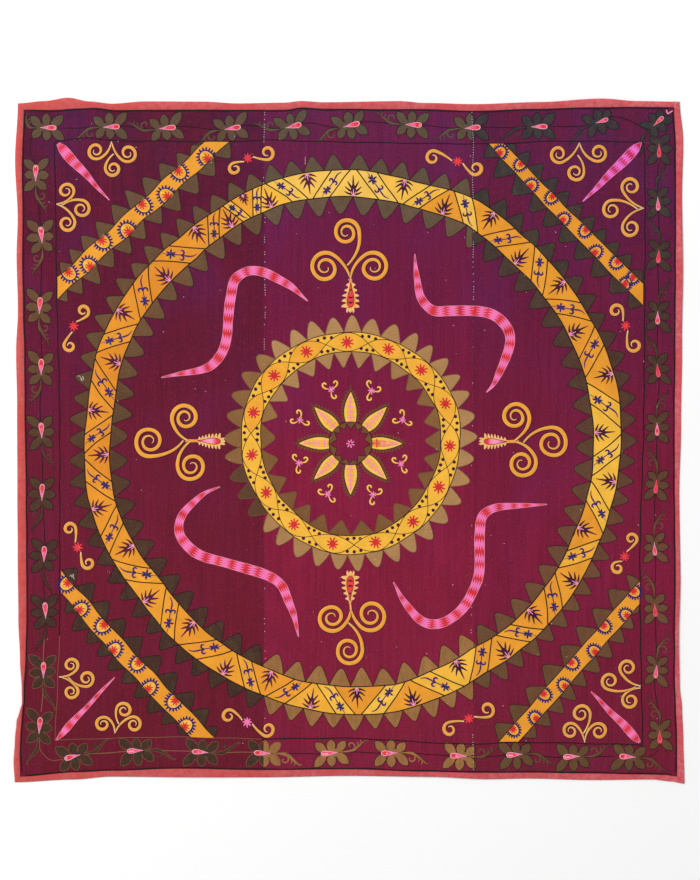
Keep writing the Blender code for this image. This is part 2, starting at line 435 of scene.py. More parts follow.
def loom_panel(name, first, last, material):
    """One loom width as a thin closed sheet that dips where it is seamed to its neighbour."""
    width = (last - first) * CLOTH_WIDTH
    columns = np.linspace(first, last, int(width / PANEL_STEP) + 2)
    slope = SEAM_SLOPE / CLOTH_WIDTH
    columns = np.unique(np.concatenate([columns, [first + slope, last - slope]]))
    rows = np.linspace(0, 1, int(CLOTH_LENGTH / PANEL_STEP) + 2)
    across, along = np.meshgrid(columns, rows)
    points = cloth_points(across.ravel(), along.ravel())
    seam_share = [s for s in (first, last) if 0 < s < 1]
    dip = sum(SEAM_DIP * ease(1 - np.abs(across.ravel() - s) / slope) for s in seam_share)
    for s in seam_share:
        points[np.isclose(across.ravel(), s), 0] += SEAM_GAP / 2 * (1 if s == first else -1)
    low = underside(points)
    high = low + PANEL_THICKNESS - dip
    count = len(points)
    verts = np.vstack([np.column_stack([points, high]), np.column_stack([points, low])])
    faces = grid_faces(len(rows), len(columns)) + grid_faces(len(rows), len(columns), count, flip=True)
    order = np.arange(count).reshape(len(rows), len(columns))
    ring = np.concatenate([order[0], order[1:, -1], order[-1, -2::-1], order[-2:0:-1, 0]])
    faces += [[b, a, a + count, b + count] for a, b in zip(ring, np.roll(ring, -1))]
    piece = mesh_piece(name, verts, faces, material)
    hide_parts(name.replace("_cloth", ""))
    return piece


BINDING_STEP = 12.0
MITRE_TRIM = 0.21
STITCH_PUCKER = 0.22
PUCKER_PITCH = 37.0


def binding_profile(width):
    """The folded strip's section as rows of depth, height and tone, once round from the lower lip. The tone
    paints light on the fold: a painted highlight along its crest and painted shade down its outer edge and
    along its inner edge.
    """
    top = BINDING_HEIGHT
    inner = BINDING_THICKNESS
    return np.array([
        (width, 0.0, 0.5), (2.4, 0.0, 0.5), (0.7, 0.7, 0.2), (0.0, top / 2, 0.1), (0.7, top - 0.6, 0.6),
        (2.6, top + 0.1, 1.0), (width * 0.5, top + 0.25, 0.75), (width - 1.8, top - 0.05, 0.6),
        (width, top - 0.5, 0.0), (width, top - inner, 0.0), (inner, top - inner, 0.0), (inner, inner, 0.0),
        (width, inner, 0.5),
    ])


def binding_strip(side, material):
    """A coral strip folded over the raw edge of one side, puckered by its stitches."""
    start, end = (np.array(CORNERS[SIDES[side][k]], float) for k in ("start", "end"))
    stations = int(np.hypot(*(end - start)) / BINDING_STEP)
    shares = np.linspace(0, 1, stations + 1)
    _, widths = edge_shape(side, shares)
    tangent = np.array(SIDES[side]["tangent"], float)
    verts, tones = [], []
    for k, (share, width) in enumerate(zip(shares, widths)):
        section = binding_profile(width)
        trim = {0: MITRE_TRIM, stations: -MITRE_TRIM}.get(k, 0.0)
        plan = side_points(side, np.full(len(section), share), section[:, 0]) + tangent * trim
        base = underside(plan) - RIM_LIFT
        pucker = STITCH_PUCKER * math.sin(2 * math.pi * k * BINDING_STEP / PUCKER_PITCH) * math.sin(k * 1.3)
        rise = np.where(section[:, 1] > BINDING_HEIGHT - 0.3, pucker, 0.0)
        verts.append(np.column_stack([plan, base + section[:, 1] + rise]))
        tones.append(section[:, 2])
    size = len(verts[0])
    faces = []
    for k in range(stations):
        for i in range(size):
            j = (i + 1) % size
            faces.append([k * size + i, k * size + j, (k + 1) * size + j, (k + 1) * size + i])
    faces += [list(range(size))[::-1], [stations * size + i for i in range(size)]]
    if side in ("bottom", "right"):
        faces = [f[::-1] for f in faces]
    piece = mesh_piece(f"binding_{side}_cloth", np.vstack(verts), faces, material, np.concatenate(tones))
    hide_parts(f"binding_{side}")
    return piece


# Spacing of a thread's mesh points, along its lines and inside its filled shapes
STITCH_STEP = 6.0
FILL_STEP = 13.0

# Heights above the cloth: filled work, work over it, the topmost work, outlines, and hidden feet
FILL = 0.55
SECOND = 0.95
THIRD = 1.3
CORD = 1.15
SUNK = -0.35
RIM_DROP = 0.22

WANDER = 0.9
FINE_WANDER = 0.5

# A cord's section: place across from -1 to 1, share of its height
CORD_SECTION = np.array([(-1.0, None), (-0.72, 0.82), (0.0, 1.0), (0.72, 0.82), (1.0, None)], float)


def even(path, step=STITCH_STEP):
    """Points evenly spaced along a path."""
    path = np.asarray(path, float)
    length = np.concatenate([[0], np.cumsum(np.hypot(*np.diff(path, axis=0).T))])
    places = np.linspace(0, length[-1], max(2, round(length[-1] / step) + 1))
    return np.column_stack([np.interp(places, length, path[:, k]) for k in (0, 1)])


def spline(points, step=STITCH_STEP, closed=False):
    """A smooth curve through points, which are spaced about a step apart."""
    points = np.asarray(points, float)
    if closed:
        padded = np.vstack([points[-1:], points, points[:2]])
    else:
        padded = np.vstack([2 * points[0] - points[1], points, 2 * points[-1] - points[-2]])
    p0, p1, p2, p3 = (padded[k:len(padded) - 3 + k, None] for k in range(4))
    t = np.linspace(0, 1, 12, endpoint=False)[:, None]
    bends = (2 * p0 - 5 * p1 + 4 * p2 - p3) * t ** 2 + (3 * p1 - p0 - 3 * p2 + p3) * t ** 3
    fine = (0.5 * (2 * p1 + (p2 - p0) * t + bends)).reshape(-1, 2)
    fine = np.vstack([fine, points[:1] if closed else points[-1:]])
    return even(fine, step)[:-1] if closed else even(fine, step)


def normals(path, closed=False):
    """Unit vectors to the left of a path at each of its points."""
    ahead = np.roll(path, -1, 0) - np.roll(path, 1, 0) if closed else np.gradient(path, axis=0)
    return np.column_stack([-ahead[:, 1], ahead[:, 0]]) / np.maximum(np.hypot(*ahead.T), 1e-9)[:, None]


def placed(shape, at, direction, scale=1.0, flip=1):
    """A shape drawn about the origin, moved to a point with its X axis turned to a direction."""
    axis = np.asarray(direction, float)
    axis = axis / np.hypot(*axis)
    local = np.asarray(shape, float) * scale * (1, flip)
    return np.asarray(at, float) + local[:, :1] * axis + local[:, 1:] * (-axis[1], axis[0])


def mirrored(upper):
    """A closed outline from its upper half, which starts and ends on the X axis."""
    return [*upper, *((x, -y) for x, y in upper[-2:0:-1])]


def polar(radius, degrees):
    """Points at radii and angles about the origin."""
    turn = np.radians(np.asarray(degrees, float))
    return np.column_stack([radius * np.cos(turn), radius * np.sin(turn)])


def wander(plan):
    """Move points by about a millimetre, as hand drawn and hand stitched lines stray."""
    x, y = plan[:, 0], plan[:, 1]
    return plan + np.column_stack([
        WANDER * np.sin(y / 23 + 2 * np.sin(x / 61)) + FINE_WANDER * np.sin(x / 11),
        WANDER * np.sin(x / 27 + 2 * np.sin(y / 53)) + FINE_WANDER * np.sin(y / 13),
    ])


def rim_distance(points, rim):
    """The distance of each point to a closed outline."""
    start, line = rim, np.roll(rim, -1, 0) - rim
    offset = points[:, None] - start
    share = np.clip((offset * line).sum(2) / np.maximum((line * line).sum(1), 1e-9), 0, 1)
    return np.hypot(*np.moveaxis(offset - share[..., None] * line, 2, 0)).min(1)


def fill_points(rim):
    """Points of a grid that lie well inside a closed outline."""
    low, high = rim.min(0), rim.max(0)
    x, y = np.meshgrid(*(np.arange(low[k] + FILL_STEP / 2, high[k], FILL_STEP) for k in (0, 1)))
    grid = np.column_stack([x.ravel(), y.ravel()])
    if not len(grid):
        return grid
    a, b = rim, np.roll(rim, -1, 0)
    spans = (a[:, 1] > grid[:, 1:]) != (b[:, 1] > grid[:, 1:])
    rise = np.where(a[:, 1] == b[:, 1], 1e-9, b[:, 1] - a[:, 1])
    crossing = a[:, 0] + (grid[:, 1:] - a[:, 1]) * (b[:, 0] - a[:, 0]) / rise
    inside = (spans & (grid[:, :1] < crossing)).sum(1) % 2 == 1
    grid = grid[inside]
    return grid[rim_distance(grid, rim) > FILL_STEP * 0.4] if len(grid) else grid


class Thread:
    """Raised work in one thread, gathered shape by shape and made into one piece."""

    pieces = []

    def __init__(self, name, material):
        self.name, self.material = name, material
        self.rows, self.faces, self.count = [], [], 0
        Thread.pieces.append(self)

    def add(self, plan, level, tone, along, faces):
        columns = [np.broadcast_to(np.asarray(v, float), len(plan)) for v in (level, tone, along)]
        self.rows.append(np.column_stack([plan, *columns]))
        self.faces += [[corner + self.count for corner in f] for f in faces]
        self.count += len(plan)

    def patch(self, outline, level=FILL, tone=0.5):
        """A filled shape with a slightly rounded rim, whose sides go down into the cloth."""
        rim = np.asarray(outline, float)
        corners = [Vector(p) for p in np.vstack([rim, fill_points(rim)])]
        plan, _, faces, *_ = delaunay_2d_cdt(corners, [], [list(range(len(rim)))], 1, 0.01)
        plan = np.array([tuple(p) for p in plan])
        a, b, c = (plan[faces[0][k]] for k in range(3))
        if (b[0] - a[0]) * (c[1] - a[1]) < (b[1] - a[1]) * (c[0] - a[0]):
            faces = [f[::-1] for f in faces]
        edges = {(a, b) for f in faces for a, b in zip(f, f[1:] + f[:1])}
        border = [(a, b) for a, b in edges if (b, a) not in edges]
        foot = {a: len(plan) + k for k, a in enumerate(sorted({a for edge in border for a in edge}))}
        levels = np.full(len(plan), level)
        levels[list(foot)] -= RIM_DROP
        skirt = [(b, a, foot[a], foot[b]) for a, b in border]
        along = rim_distance(plan, rim)
        plan = np.vstack([plan, plan[list(foot)]])
        tones = tone(plan) if callable(tone) else tone
        self.add(plan, np.append(levels, [SUNK] * len(foot)), tones, np.append(along, [0] * len(foot)),
                 [tuple(f) for f in faces] + skirt)

    def cord(self, path, half=1.3, level=CORD, tone=0.5, closed=False, rows=False):
        """A raised line along a path; half is its half width, and rows run along it when asked for."""
        path = np.asarray(path, float)
        count, size = len(path), len(CORD_SECTION)
        side = normals(path, closed)
        half = np.broadcast_to(np.asarray(half, float), count)[:, None]
        across = CORD_SECTION[:, 0] * half
        plan = (path[:, None] + side[:, None] * across[..., None]).reshape(-1, 2)
        levels = np.tile(np.nan_to_num(CORD_SECTION[:, 1] * level, nan=SUNK), count)
        length = np.concatenate([[0], np.cumsum(np.hypot(*np.diff(path, axis=0).T))])
        along = (half - np.abs(across)).ravel() if rows else np.repeat(length, size)
        tones = np.repeat(np.broadcast_to(np.asarray(tone, float), count), size)
        faces = grid_faces(count, size)
        if closed:
            last = (count - 1) * size
            faces += [[last + i, last + i + 1, i + 1, i] for i in range(size - 1)]
        else:
            faces += [list(range(size))[::-1], [(count - 1) * size + i for i in range(size)]]
        self.add(plan, levels, tones, along, [f[::-1] for f in faces])

    def edges(self, path, widths, half, level, tone):
        """Two thin cords along the sides of a path whose half width changes along it."""
        for way in (1, -1):
            self.cord(path + normals(path) * way * np.asarray(widths)[:, None], half, level, tone)

    def stroke(self, path, widths, level=THIRD, tone=0.5, step=4.0):
        """A smooth stitched stroke whose half width changes along it."""
        curve = spline(path, step)
        places = np.linspace(0, 1, len(widths))
        self.cord(curve, np.interp(np.linspace(0, 1, len(curve)), places, widths), level, tone)

    def grid(self, plan, rows, count, level=FILL, tone=0.5):
        """A cover from a grid of points stored row by row, closed down to the cloth on its long edges."""
        across = np.hypot(*(plan[(rows - 1) * count:] - plan[:count]).T)
        shares = np.linspace(0, 1, rows)
        along = (np.minimum(shares, 1 - shares)[:, None] * across).ravel()
        levels = np.full(rows * count, level)
        levels[:count] -= RIM_DROP
        levels[-count:] -= RIM_DROP
        faces = grid_faces(rows, count)
        for row, foot in ((0, rows * count), ((rows - 1) * count, (rows + 1) * count)):
            for i in range(count - 1):
                quad = [row + i + 1, row + i, foot + i, foot + i + 1]
                faces.append(quad[::-1] if row else quad)
        ahead, aside = plan[1] - plan[0], plan[count] - plan[0]
        if ahead[0] * aside[1] < ahead[1] * aside[0]:
            faces = [f[::-1] for f in faces]
        feet = [SUNK] * (2 * count)
        self.add(np.vstack([plan, plan[:count], plan[-count:]]), np.append(levels, feet), tone,
                 np.append(along, [0] * (2 * count)), faces)

    def band(self, near, far, level=FILL, tone=0.5, rows=7):
        """A cover between two paths that have as many points as each other."""
        shares = np.linspace(0, 1, rows)[:, None, None]
        plan = (near[None] + (far - near)[None] * shares).reshape(-1, 2)
        self.grid(plan, rows, len(near), level, tone)

    def build(self):
        """Lay the gathered work on the cloth as one piece."""
        rows = np.vstack(self.rows)
        plan = wander(rows[:, :2])
        points = np.column_stack([plan, face(plan) + rows[:, 2]])
        return mesh_piece(self.name, points, self.faces, self.material, rows[:, 3], rows[:, 4])


def thread_finish(name, colour, pitch=2.4, worn=0.1):
    """Stitches in rows that follow each shape, with flecks where the thread is worn or faded."""
    finish = Finish(name, 0.7, 0.15, Sheen_Weight=0.05, Sheen_Roughness=0.5)
    turn = finish.math("MULTIPLY", finish.attribute("along"), 2 * math.pi / pitch)
    row = finish.math("SINE", turn)
    flecks = finish.noise((330.0, 330.0, 1.0), 3.0, 0.6)
    patches = finish.noise((26.0, 26.0, 1.0), 2.0, 0.5)
    value = finish.swing(finish.band(row, -1.0, 1.0, 0.93, 1.05), flecks, worn)
    value = finish.swing(value, patches, 0.07)
    finish.colour(finish.brightness(colour(finish), value))
    fuzz = finish.band(flecks, 0.3, 0.7, 0.0, 0.4)
    finish.bump(finish.math("ADD", finish.band(row, -1.0, 1.0, 0.0, 0.6), fuzz), 0.0005, 0.7)
    return finish.material


def toned(*stops, painted_top_shade=0.0):
    """A colour chosen by each shape's tone from 0 to 1, with painted shade that darkens it by a share towards
    the top edge.
    """
    def colour(finish):
        base = finish.ramp(finish.attribute("tone"), stops)
        # Painted shade: lighter towards the bottom edge, darker towards the top edge.
        return finish.brightness(base, finish.band(finish.axis("Y"), -1.0, 1.0, 1.0 + painted_top_shade, 1.0 - painted_top_shade))
    return colour


def rimmed(inner, rim):
    """A colour that turns to another one along the rim of each shape."""
    def colour(finish):
        share = finish.band(finish.attribute("along"), 0.2, 2.4, 0.65, 0.0)
        return finish.mix(share, inner(finish), rim)
    return colour


def panelled(left, centre, right):
    """A colour that changes from one loom width to the next, a little lighter where tone is over a half."""
    def colour(finish):
        base = finish.by_panel(left, centre, right)
        brown = finish.band(finish.noise((75.0, 16.0, 1.0), 3.0, 0.6), 0.38, 0.64, 0.0, 0.6)
        base = finish.mix(brown, base, finish.mix(0.45, base, "#5e3018"))
        olive = finish.band(finish.noise((30.0, 20.0, 1.0), 3.0, 0.6), 0.47, 0.62, 0.0, 0.22)
        base = finish.mix(olive, base, finish.mix(0.5, base, "#565c3c"))
        specks = finish.band(finish.noise((260.0, 200.0, 1.0), 2.0, 0.6), 0.58, 0.72, 0.0, 0.35)
        base = finish.mix(specks, base, finish.mix(0.6, base, "#a08058"))
        return finish.brightness(base, finish.band(finish.attribute("tone"), 0.0, 1.0, 0.82, 1.18))
    return colour


leaf = thread_finish("leaf_thread", panelled(**LEAF_COLOURS), worn=0.28)
camel = thread_finish("camel_thread", toned(
    (0.0, "#4d3526"), (0.35, "#714a29"), (0.7, "#986e41"), (1.0, "#b5895a")), worn=0.22)
# Painted shade darkens the orange and red threads towards the top edge.
orange = thread_finish("orange_thread", toned(
    (0.0, "#dd8824"), (0.4, "#ea9d2e"), (0.75, "#f2b93f"), (0.9, "#f3c560"), (1.0, "#f3d8a0"), painted_top_shade=0.045))
red = thread_finish("red_thread", toned(
    (0.0, "#cc262c"), (0.35, "#e83e46"), (0.7, "#f074b0"), (1.0, "#f2aebc"), painted_top_shade=0.045))
magenta = thread_finish("magenta_thread", toned(
    (0.0, "#c02450"), (0.3, "#cc3058"), (0.7, "#ee6ccc"), (1.0, "#f0b0d0")))
# Painted shade darkens the scroll thread towards the top edge.
scroll_orange = thread_finish("scroll_thread", rimmed(toned(
    (0.0, "#e8962c"), (0.35, "#ee9f34"), (0.55, "#ea9e42"), (0.8, "#f0c088"), (1.0, "#f6dcb8"), painted_top_shade=0.03),
    "#f2c488"))
violet = thread_finish("violet_thread", toned((0.0, "#2c2260"), (0.5, "#43246a"), (1.0, "#5a2348")))
plum = thread_finish("plum_thread", toned((0.0, "#3a1330"), (0.6, "#5b1a38"), (1.0, "#7a2838")))
outline = thread_finish("outline_thread", toned((0.0, "#150e14"), (0.4, "#2a1d1c"), (1.0, "#9a6a48")), 3.2)
white = thread_finish("white_thread", toned((0.0, "#e8dccb"), (1.0, "#fbf7ef")), 2.0)

# Corner after corner of the thin line that frames the field, clockwise from its top left
FRAME_LINE = {
    "top": [(-912, 926), (-818, 939), (-734, 930), (-542, 928), (-375, 927),
            (-248, 932), (-77, 927), (388, 920), (642, 928), (912, 926)],
    "right": [(912, 926), (917, 839), (917, 573), (913, 49), (904, -246), (902, -481), (910, -943)],
    "bottom": [(910, -943), (558, -935), (360, -940), (180, -931), (0, -922), (-269, -924)],
    "pale_bottom": [(-269, -924), (-539, -918), (-740, -922), (-911, -928)],
    "pale_left": [(-911, -928), (-903, -773), (-897, -605)],
    "left": [(-897, -605), (-897, 64), (-905, 436), (-912, 926)],
}

# A band across each corner: its near edge, then its far edge, which is on the left walking along the
# near one where far_side is 1. Teeth are (place along, height). Half suns stand on the two edges in turn
DIAGONALS = {
    "top_left": {
        "near": ((-903, 439), (-369, 926)), "far": ((-903, 508), (-446, 926)), "far_side": 1,
        "sway": 3.0, "bow": 0.0, "sun_size": 1.0, "tone": 0.4,
        "near_teeth": [
            (16, 28), (67, 43), (129, 51), (197, 46), (264, 46), (329, 46), (397, 46), (467, 53),
            (542, 53), (620, 43), (693, 40),
        ],
        "far_teeth": [
            (84, 31), (132, 39), (188, 43), (250, 48), (322, 51), (383, 56), (450, 49), (519, 45),
            (581, 37), (629, 19),
        ],
        "first_sun": "far", "suns": [67, 143, 223, 304, 391, 465, 544, 636],
    },
    "top_right": {
        "near": ((431, 921), (910, 420)), "far": ((481, 922), (912, 488)), "far_side": 1,
        "sway": 0.5, "bow": -3.5, "sun_size": 0.78, "tone": 0.25,
        "near_teeth": [
            (22, 39), (87, 56), (170, 53), (242, 48), (304, 50), (372, 48), (446, 49), (521, 51),
            (595, 45), (673, 39),
        ],
        "far_teeth": [
            (62, 24), (107, 38), (166, 42), (226, 44), (284, 40), (338, 44), (395, 42), (446, 39),
            (502, 39), (555, 39), (617, 26),
        ],
        "first_sun": "near", "suns": [46, 116, 186, 257, 332, 403, 474, 541, 609, 648],
    },
    "bottom_left": {
        "near": ((-892, -401), (-415, -918)), "far": ((-892, -472), (-489, -918)), "far_side": -1,
        "sway": 2.0, "bow": 7.5, "sun_size": 0.95, "tone": 0.25,
        "near_teeth": [
            (31, 43), (101, 51), (174, 50), (246, 48), (324, 51), (405, 53), (480, 54), (558, 50),
            (629, 46), (688, 29),
        ],
        "far_teeth": [
            (105, 31), (163, 46), (222, 42), (273, 43), (327, 45), (386, 40), (446, 42), (507, 43),
            (564, 40), (617, 19),
        ],
        "first_sun": "near", "suns": [43, 130, 214, 293, 374, 454, 536, 618],
    },
    "bottom_right": {
        "near": ((465, -933), (902, -432)), "far": ((527, -933), (902, -508)), "far_side": -1,
        "sway": 0.6, "bow": 0.0, "sun_size": 0.8, "tone": 0.3,
        "near_teeth": [
            (34, 46), (108, 50), (183, 46), (270, 53), (350, 51), (429, 53), (502, 53), (581, 54),
            (657, 43),
        ],
        "far_teeth": [
            (88, 30), (144, 42), (202, 46), (254, 46), (310, 44), (366, 46), (431, 44), (487, 43),
            (539, 33), (589, 13),
        ],
        "first_sun": "near", "suns": [57, 130, 202, 265, 333, 406, 484, 555, 626],
    },
}

# Middle lines of the four banded snakes
SNAKES = [
    [
        (-582, 195), (-527, 208), (-462, 219), (-424, 235), (-393, 272), (-379, 325), (-373, 381),
        (-367, 443), (-353, 498), (-310, 526), (-251, 517), (-183, 480), (-127, 433),
    ],
    [
        (205, 579), (211, 498), (224, 443), (261, 405), (313, 402), (406, 402), (459, 384), (493, 346),
        (499, 306), (481, 244), (453, 182), (425, 151),
    ],
    [
        (-400, -143), (-458, -171), (-514, -227), (-527, -274), (-508, -317), (-458, -357), (-356, -385),
        (-266, -413), (-210, -447), (-183, -509), (-164, -565), (-155, -608),
    ],
    [
        (614, -196), (530, -202), (453, -208), (413, -236), (405, -289), (406, -357), (400, -425),
        (375, -487), (329, -543), (273, -568), (217, -553), (171, -497), (137, -438),
    ],
]

# Corner tapers: head, pointed end, pitch of the bands, half widths from the head on
TAPERS = {
    "top_left": ((-902, 920), (-744, 746), 38, [5, 13, 16, 15.5, 14, 12, 10, 8, 6.2, 4.4, 2.4, 0.6]),
    "top_right": ((908, 925), (724, 741), 35, [0.8, 12, 15.6, 15.8, 14.8, 13, 11.4, 9.6, 7.6, 5.4, 3, 0.6]),
    "bottom_left": ((-908, -928), (-725, -732), 41, [1.5, 7.5, 10.5, 10, 8.4, 7, 6, 5.5, 5, 3.8, 2.2, 0.6]),
    "bottom_right": ((902, -934), (751, -779), 38, [4, 11, 13, 12.4, 11.4, 10.4, 9.4, 8.4, 7, 5.4, 3.6, 1]),
}

# Scrolls as (root, middle of the coil, radius, turn: 1 counterclockwise or -1 clockwise)
LARGE_SCROLLS = [
    ((5, 501), (-74, 536), 48, 1), ((5, 501), (76, 537), 48, -1), ((-4, 545), (-9, 646), 42, 1),
    ((-499, 1), (-508, 71), 43, -1), ((-512, 1), (-618, -2), 48, -1), ((-491, -2), (-488, -78), 46, 1),
    ((510, -1), (516, 74), 45, 1), ((541, -6), (630, -7), 50, -1), ((514, -3), (537, -69), 45, -1),
    ((4, -503), (-52, -547), 46, -1), ((4, -503), (69, -540), 50, 1), ((-3, -565), (-1, -650), 45, -1),
]
CORNER_SCROLLS = [
    ((-736, 926), (-784, 898), 28, -1), ((-736, 926), (-685, 892), 29, 1),
    ((-730, 889), (-731, 844), 26, 1), ((-905, 734), (-877, 774), 28, 1),
    ((-892, 728), (-829, 718), 29, -1), ((-905, 734), (-875, 675), 28, -1),
    ((713, 923), (651, 889), 29, -1), ((713, 923), (772, 892), 29, 1), ((709, 886), (702, 832), 29, -1),
    ((912, 722), (875, 787), 31, -1), ((895, 718), (814, 716), 30, 1), ((912, 722), (875, 660), 30, 1),
    ((-897, -732), (-861, -695), 25, 1), ((-869, -733), (-813, -737), 26, 1),
    ((-897, -732), (-862, -777), 25, -1), ((-725, -906), (-762, -878), 25, 1),
    ((-714, -878), (-697, -835), 26, -1), ((-725, -906), (-668, -880), 26, -1),
    ((904, -760), (864, -704), 28, -1), ((890, -762), (809, -745), 28, -1),
    ((904, -766), (873, -805), 28, 1), ((730, -934), (687, -900), 26, 1),
    ((727, -906), (720, -847), 30, 1), ((730, -934), (775, -900), 27, -1),
]
# Stars, each with its two scrolls as (middle of the coil, radius, turn)
STAR_SCROLLS = [
    ((-314, 877), [((-353, 844), 22, 1), ((-254, 892), 25, 1)]),
    ((-854, 354), [((-824, 402), 22, 1), ((-865, 295), 22, 1)]),
    ((338, 867), [((261, 877), 25, 1), ((394, 844), 25, 1)]),
    ((859, 356), [((828, 402), 23, 1), ((884, 297), 25, 1)]),
    ((-841, -331), [((-865, -274), 23, 1), ((-809, -379), 22, 1)]),
    ((-316, -873), [((-373, -853), 25, 1), ((-252, -894), 25, 1)]),
    ((372, -863), [((313, -895), 25, 1), ((428, -833), 26, 1)]),
    ((856, -359), [((875, -305), 22, 1), ((833, -394), 22, 1)]),
]

# Border flowers of each side: the way their drops point, where each one's curling leaf bends (i inward,
# o outward, c into the corner, - none), and their places
BORDER_FLOWERS = {
    "top": ((-1, 0), "cioioioiiii", [
        (-930, 970), (-734, 973), (-561, 970), (-359, 970), (-170, 976), (10, 979), (202, 979),
        (385, 970), (592, 973), (785, 991), (961, 991),
    ]),
    "left": ((0, -1), "ioioioioio", [
        (-970, 830), (-954, 638), (-958, 421), (-954, 229), (-954, 33), (-951, -159), (-945, -351),
        (-942, -525), (-947, -711), (-958, -881),
    ]),
    "right": ((0, 1), "-oioioioioi", [
        (961, 898), (958, 734), (960, 570), (958, 381), (958, 216), (955, 36), (952, -143), (949, -336),
        (949, -525), (952, -717), (964, -918),
    ]),
    "bottom": ((1, 0), "ioioioioio", [
        (-858, -980), (-663, -962), (-462, -965), (-269, -968), (-62, -968), (124, -968), (338, -977),
        (512, -974), (689, -980), (862, -980),
    ]),
}
# Flowers turned away from their side's way, in degrees
TURNED_FLOWERS = {
    ("top", 2): 8, ("top", 3): 10, ("top", 4): 12, ("top", 5): 12, ("top", 9): 20, ("top", 10): 45,
    ("bottom", 0): 12,
}
# Stems that join the flowers of two sides, and how pale their thread is
CORNER_STEMS = [
    ([(-960, 955), (-978, 944), (-987, 920), (-986, 890), (-972, 856)], 0.1),
    ([(-959, -925), (-959, -955), (-940, -980), (-917, -990), (-885, -986)], 0.8),
    ([(900, -982), (925, -980), (945, -971), (962, -955)], 0.1),
]


# One tooth from valley to valley: place along its base, share of its height. The root goes below the edge
TOOTH = [(0.0, 0.0), (0.11, 0.33), (0.23, 0.64), (0.34, 0.89), (0.39, 0.98), (0.44, 1.0), (0.5, 0.97),
         (0.59, 0.83), (0.73, 0.55), (0.88, 0.25), (1.0, 0.0)]
BLUNT_TOOTH = [(0.0, 0.0), (0.09, 0.33), (0.2, 0.65), (0.31, 0.89), (0.38, 0.98), (0.44, 1.0), (0.51, 0.96),
               (0.61, 0.82), (0.75, 0.54), (0.88, 0.25), (1.0, 0.0)]
TOOTH_ROOT = 4.0
TOOTH_PEAK = 0.43


def teeth(fill, line, apexes, heights, edge, fill_tones, line_tone=0.1, first=None, last=None,
          shape=TOOTH):
    """A row of hand drawn teeth along an edge; edge gives points from places and heights."""
    valleys = (np.asarray(apexes[1:]) + np.asarray(apexes[:-1])) / 2
    start = apexes[0] - (valleys[0] - apexes[0]) if first is None else first
    end = apexes[-1] + (apexes[-1] - valleys[-1]) if last is None else last
    valleys = [start, *valleys, end]
    across, rise = spline(shape, 0.12).T
    for k, height in enumerate(heights):
        lean = (apexes[k] - valleys[k]) / (valleys[k + 1] - valleys[k]) - TOOTH_PEAK
        shares = across + lean * 4 * across * (1 - across) * 0.6
        places = valleys[k] + (valleys[k + 1] - valleys[k]) * shares
        crest = even(edge(places, rise * height), 5.0)
        root = edge(np.array([valleys[k + 1], valleys[k]], float), np.full(2, -TOOTH_ROOT))
        fill.patch(np.vstack([crest, root]), FILL - 0.1, fill_tones[k % len(fill_tones)])
        line.cord(crest, 0.95, CORD - 0.1, line_tone)


def star(thread, at, radius, arms, first=90.0, half=1.9, level=THIRD, tone=0.35, blunt=0.4, inner=0.5):
    """Straight petals from an inner radius outwards, their ends a share of their half width."""
    for arm in range(arms):
        way = polar(1.0, [first + arm * 360 / arms])[0]
        reach = radius * (0.93 + 0.07 * math.sin(5.3 * arm + at[0]))
        thread.stroke([at + way * inner, at + way * reach * 0.6, at + way * reach],
                      [half * 0.5, half, half * 0.9, half * blunt], level + 0.02 * (arm % 2), tone)


def fan_out(thread, at, direction, spikes, level=THIRD, tone=0.3, scale=1.0):
    """Curved spikes drawn about a point: rows of start, bend, tip and half width."""
    for number, (start, bend, tip, half) in enumerate(spikes):
        for flip in ((1, -1) if tip[1] else (1,)):
            path = placed([start, bend, tip], at, direction, scale, flip)
            thread.stroke(path, [half * 0.8, half, half * 0.75, 1.1], level + 0.02 * number, tone)


# Palmette, X away from the edge that it grows from
PALMETTE_SPIKES = [
    ((6, 0), (32, 0.0), (66, 0), 4.7),
    ((5, 1.5), (8, 14), (15, 28), 4.0),
    ((12, 1.5), (20, 14), (31, 26), 4.3),
    ((22, 1.5), (34, 10), (47, 18), 4.2),
]
PALMETTE_BODY = mirrored([(2, 0), (7, 8), (18, 9), (34, 4.5), (44, 0)])
PALMETTE_HEART = [
    ((0.5, 0), (11, 0.0), (23, 0), 2.6),
    ((2, 1), (8, 5), (15, 7), 2.3),
]

# Bar motif along a bar of this length, middle at the origin, its star towards negative X
BAR_LENGTH = 118
BAR_STAR = (-26, 0)
BAR_HOOK = [(6, 0.5), (12.5, 3), (15, 9), (10.5, 14), (3.5, 12)]
BAR_TAIL = [(12, 0), (28, 1.5), (42, 0), (54, -7)]
BAR_STEM = [(-54, 0), (-34, 1), (-10, 0), (12, 0)]

# The two rings: middle, edge radii, and how far the drawn edges stray as rows of angle, outer, inner
GREAT_RING = {
    "middle": (6.5, -3.9), "inner": 750, "outer": 834,
    "strays": np.array([
        (0, 3, 1), (13, 11, 2), (27, 2, 0), (40, -2, -3), (50, -1, -4), (62, 13, 11), (76, -3, 2),
        (90, 11, 9), (107, 13, 16), (120, -2, 5), (130, -5, -6), (145, 2, 2), (158, 4, 3),
        (172, -10, -9), (183, -5, -1), (192, 1, 3), (203, -6, -4), (217, -18, -23), (230, -7, -14),
        (245, -5, -5), (258, 4, 5), (272, 13, 7), (280, 13, 13), (290, 5, 2), (300, -5, -8),
        (312, 0, 1), (325, 0, 1), (338, -4, -4), (350, 0, 3),
    ], float),
}
SMALL_RING = {
    "middle": (5.0, -3.9), "inner": 281, "outer": 343,
    "strays": np.array([
        (0, -3, -2), (20, 6, 4), (45, 0, -1), (60, -3, -1), (100, -2, -1), (145, 4, -1), (160, 2, 4),
        (180, -4, -3), (190, -3, -4), (210, -7, -5), (225, -6, -5), (240, 0, 2), (260, 6, 10),
        (285, 6, 10), (300, 2, 4), (330, -4, -5), (350, -5, -2),
    ], float),
}

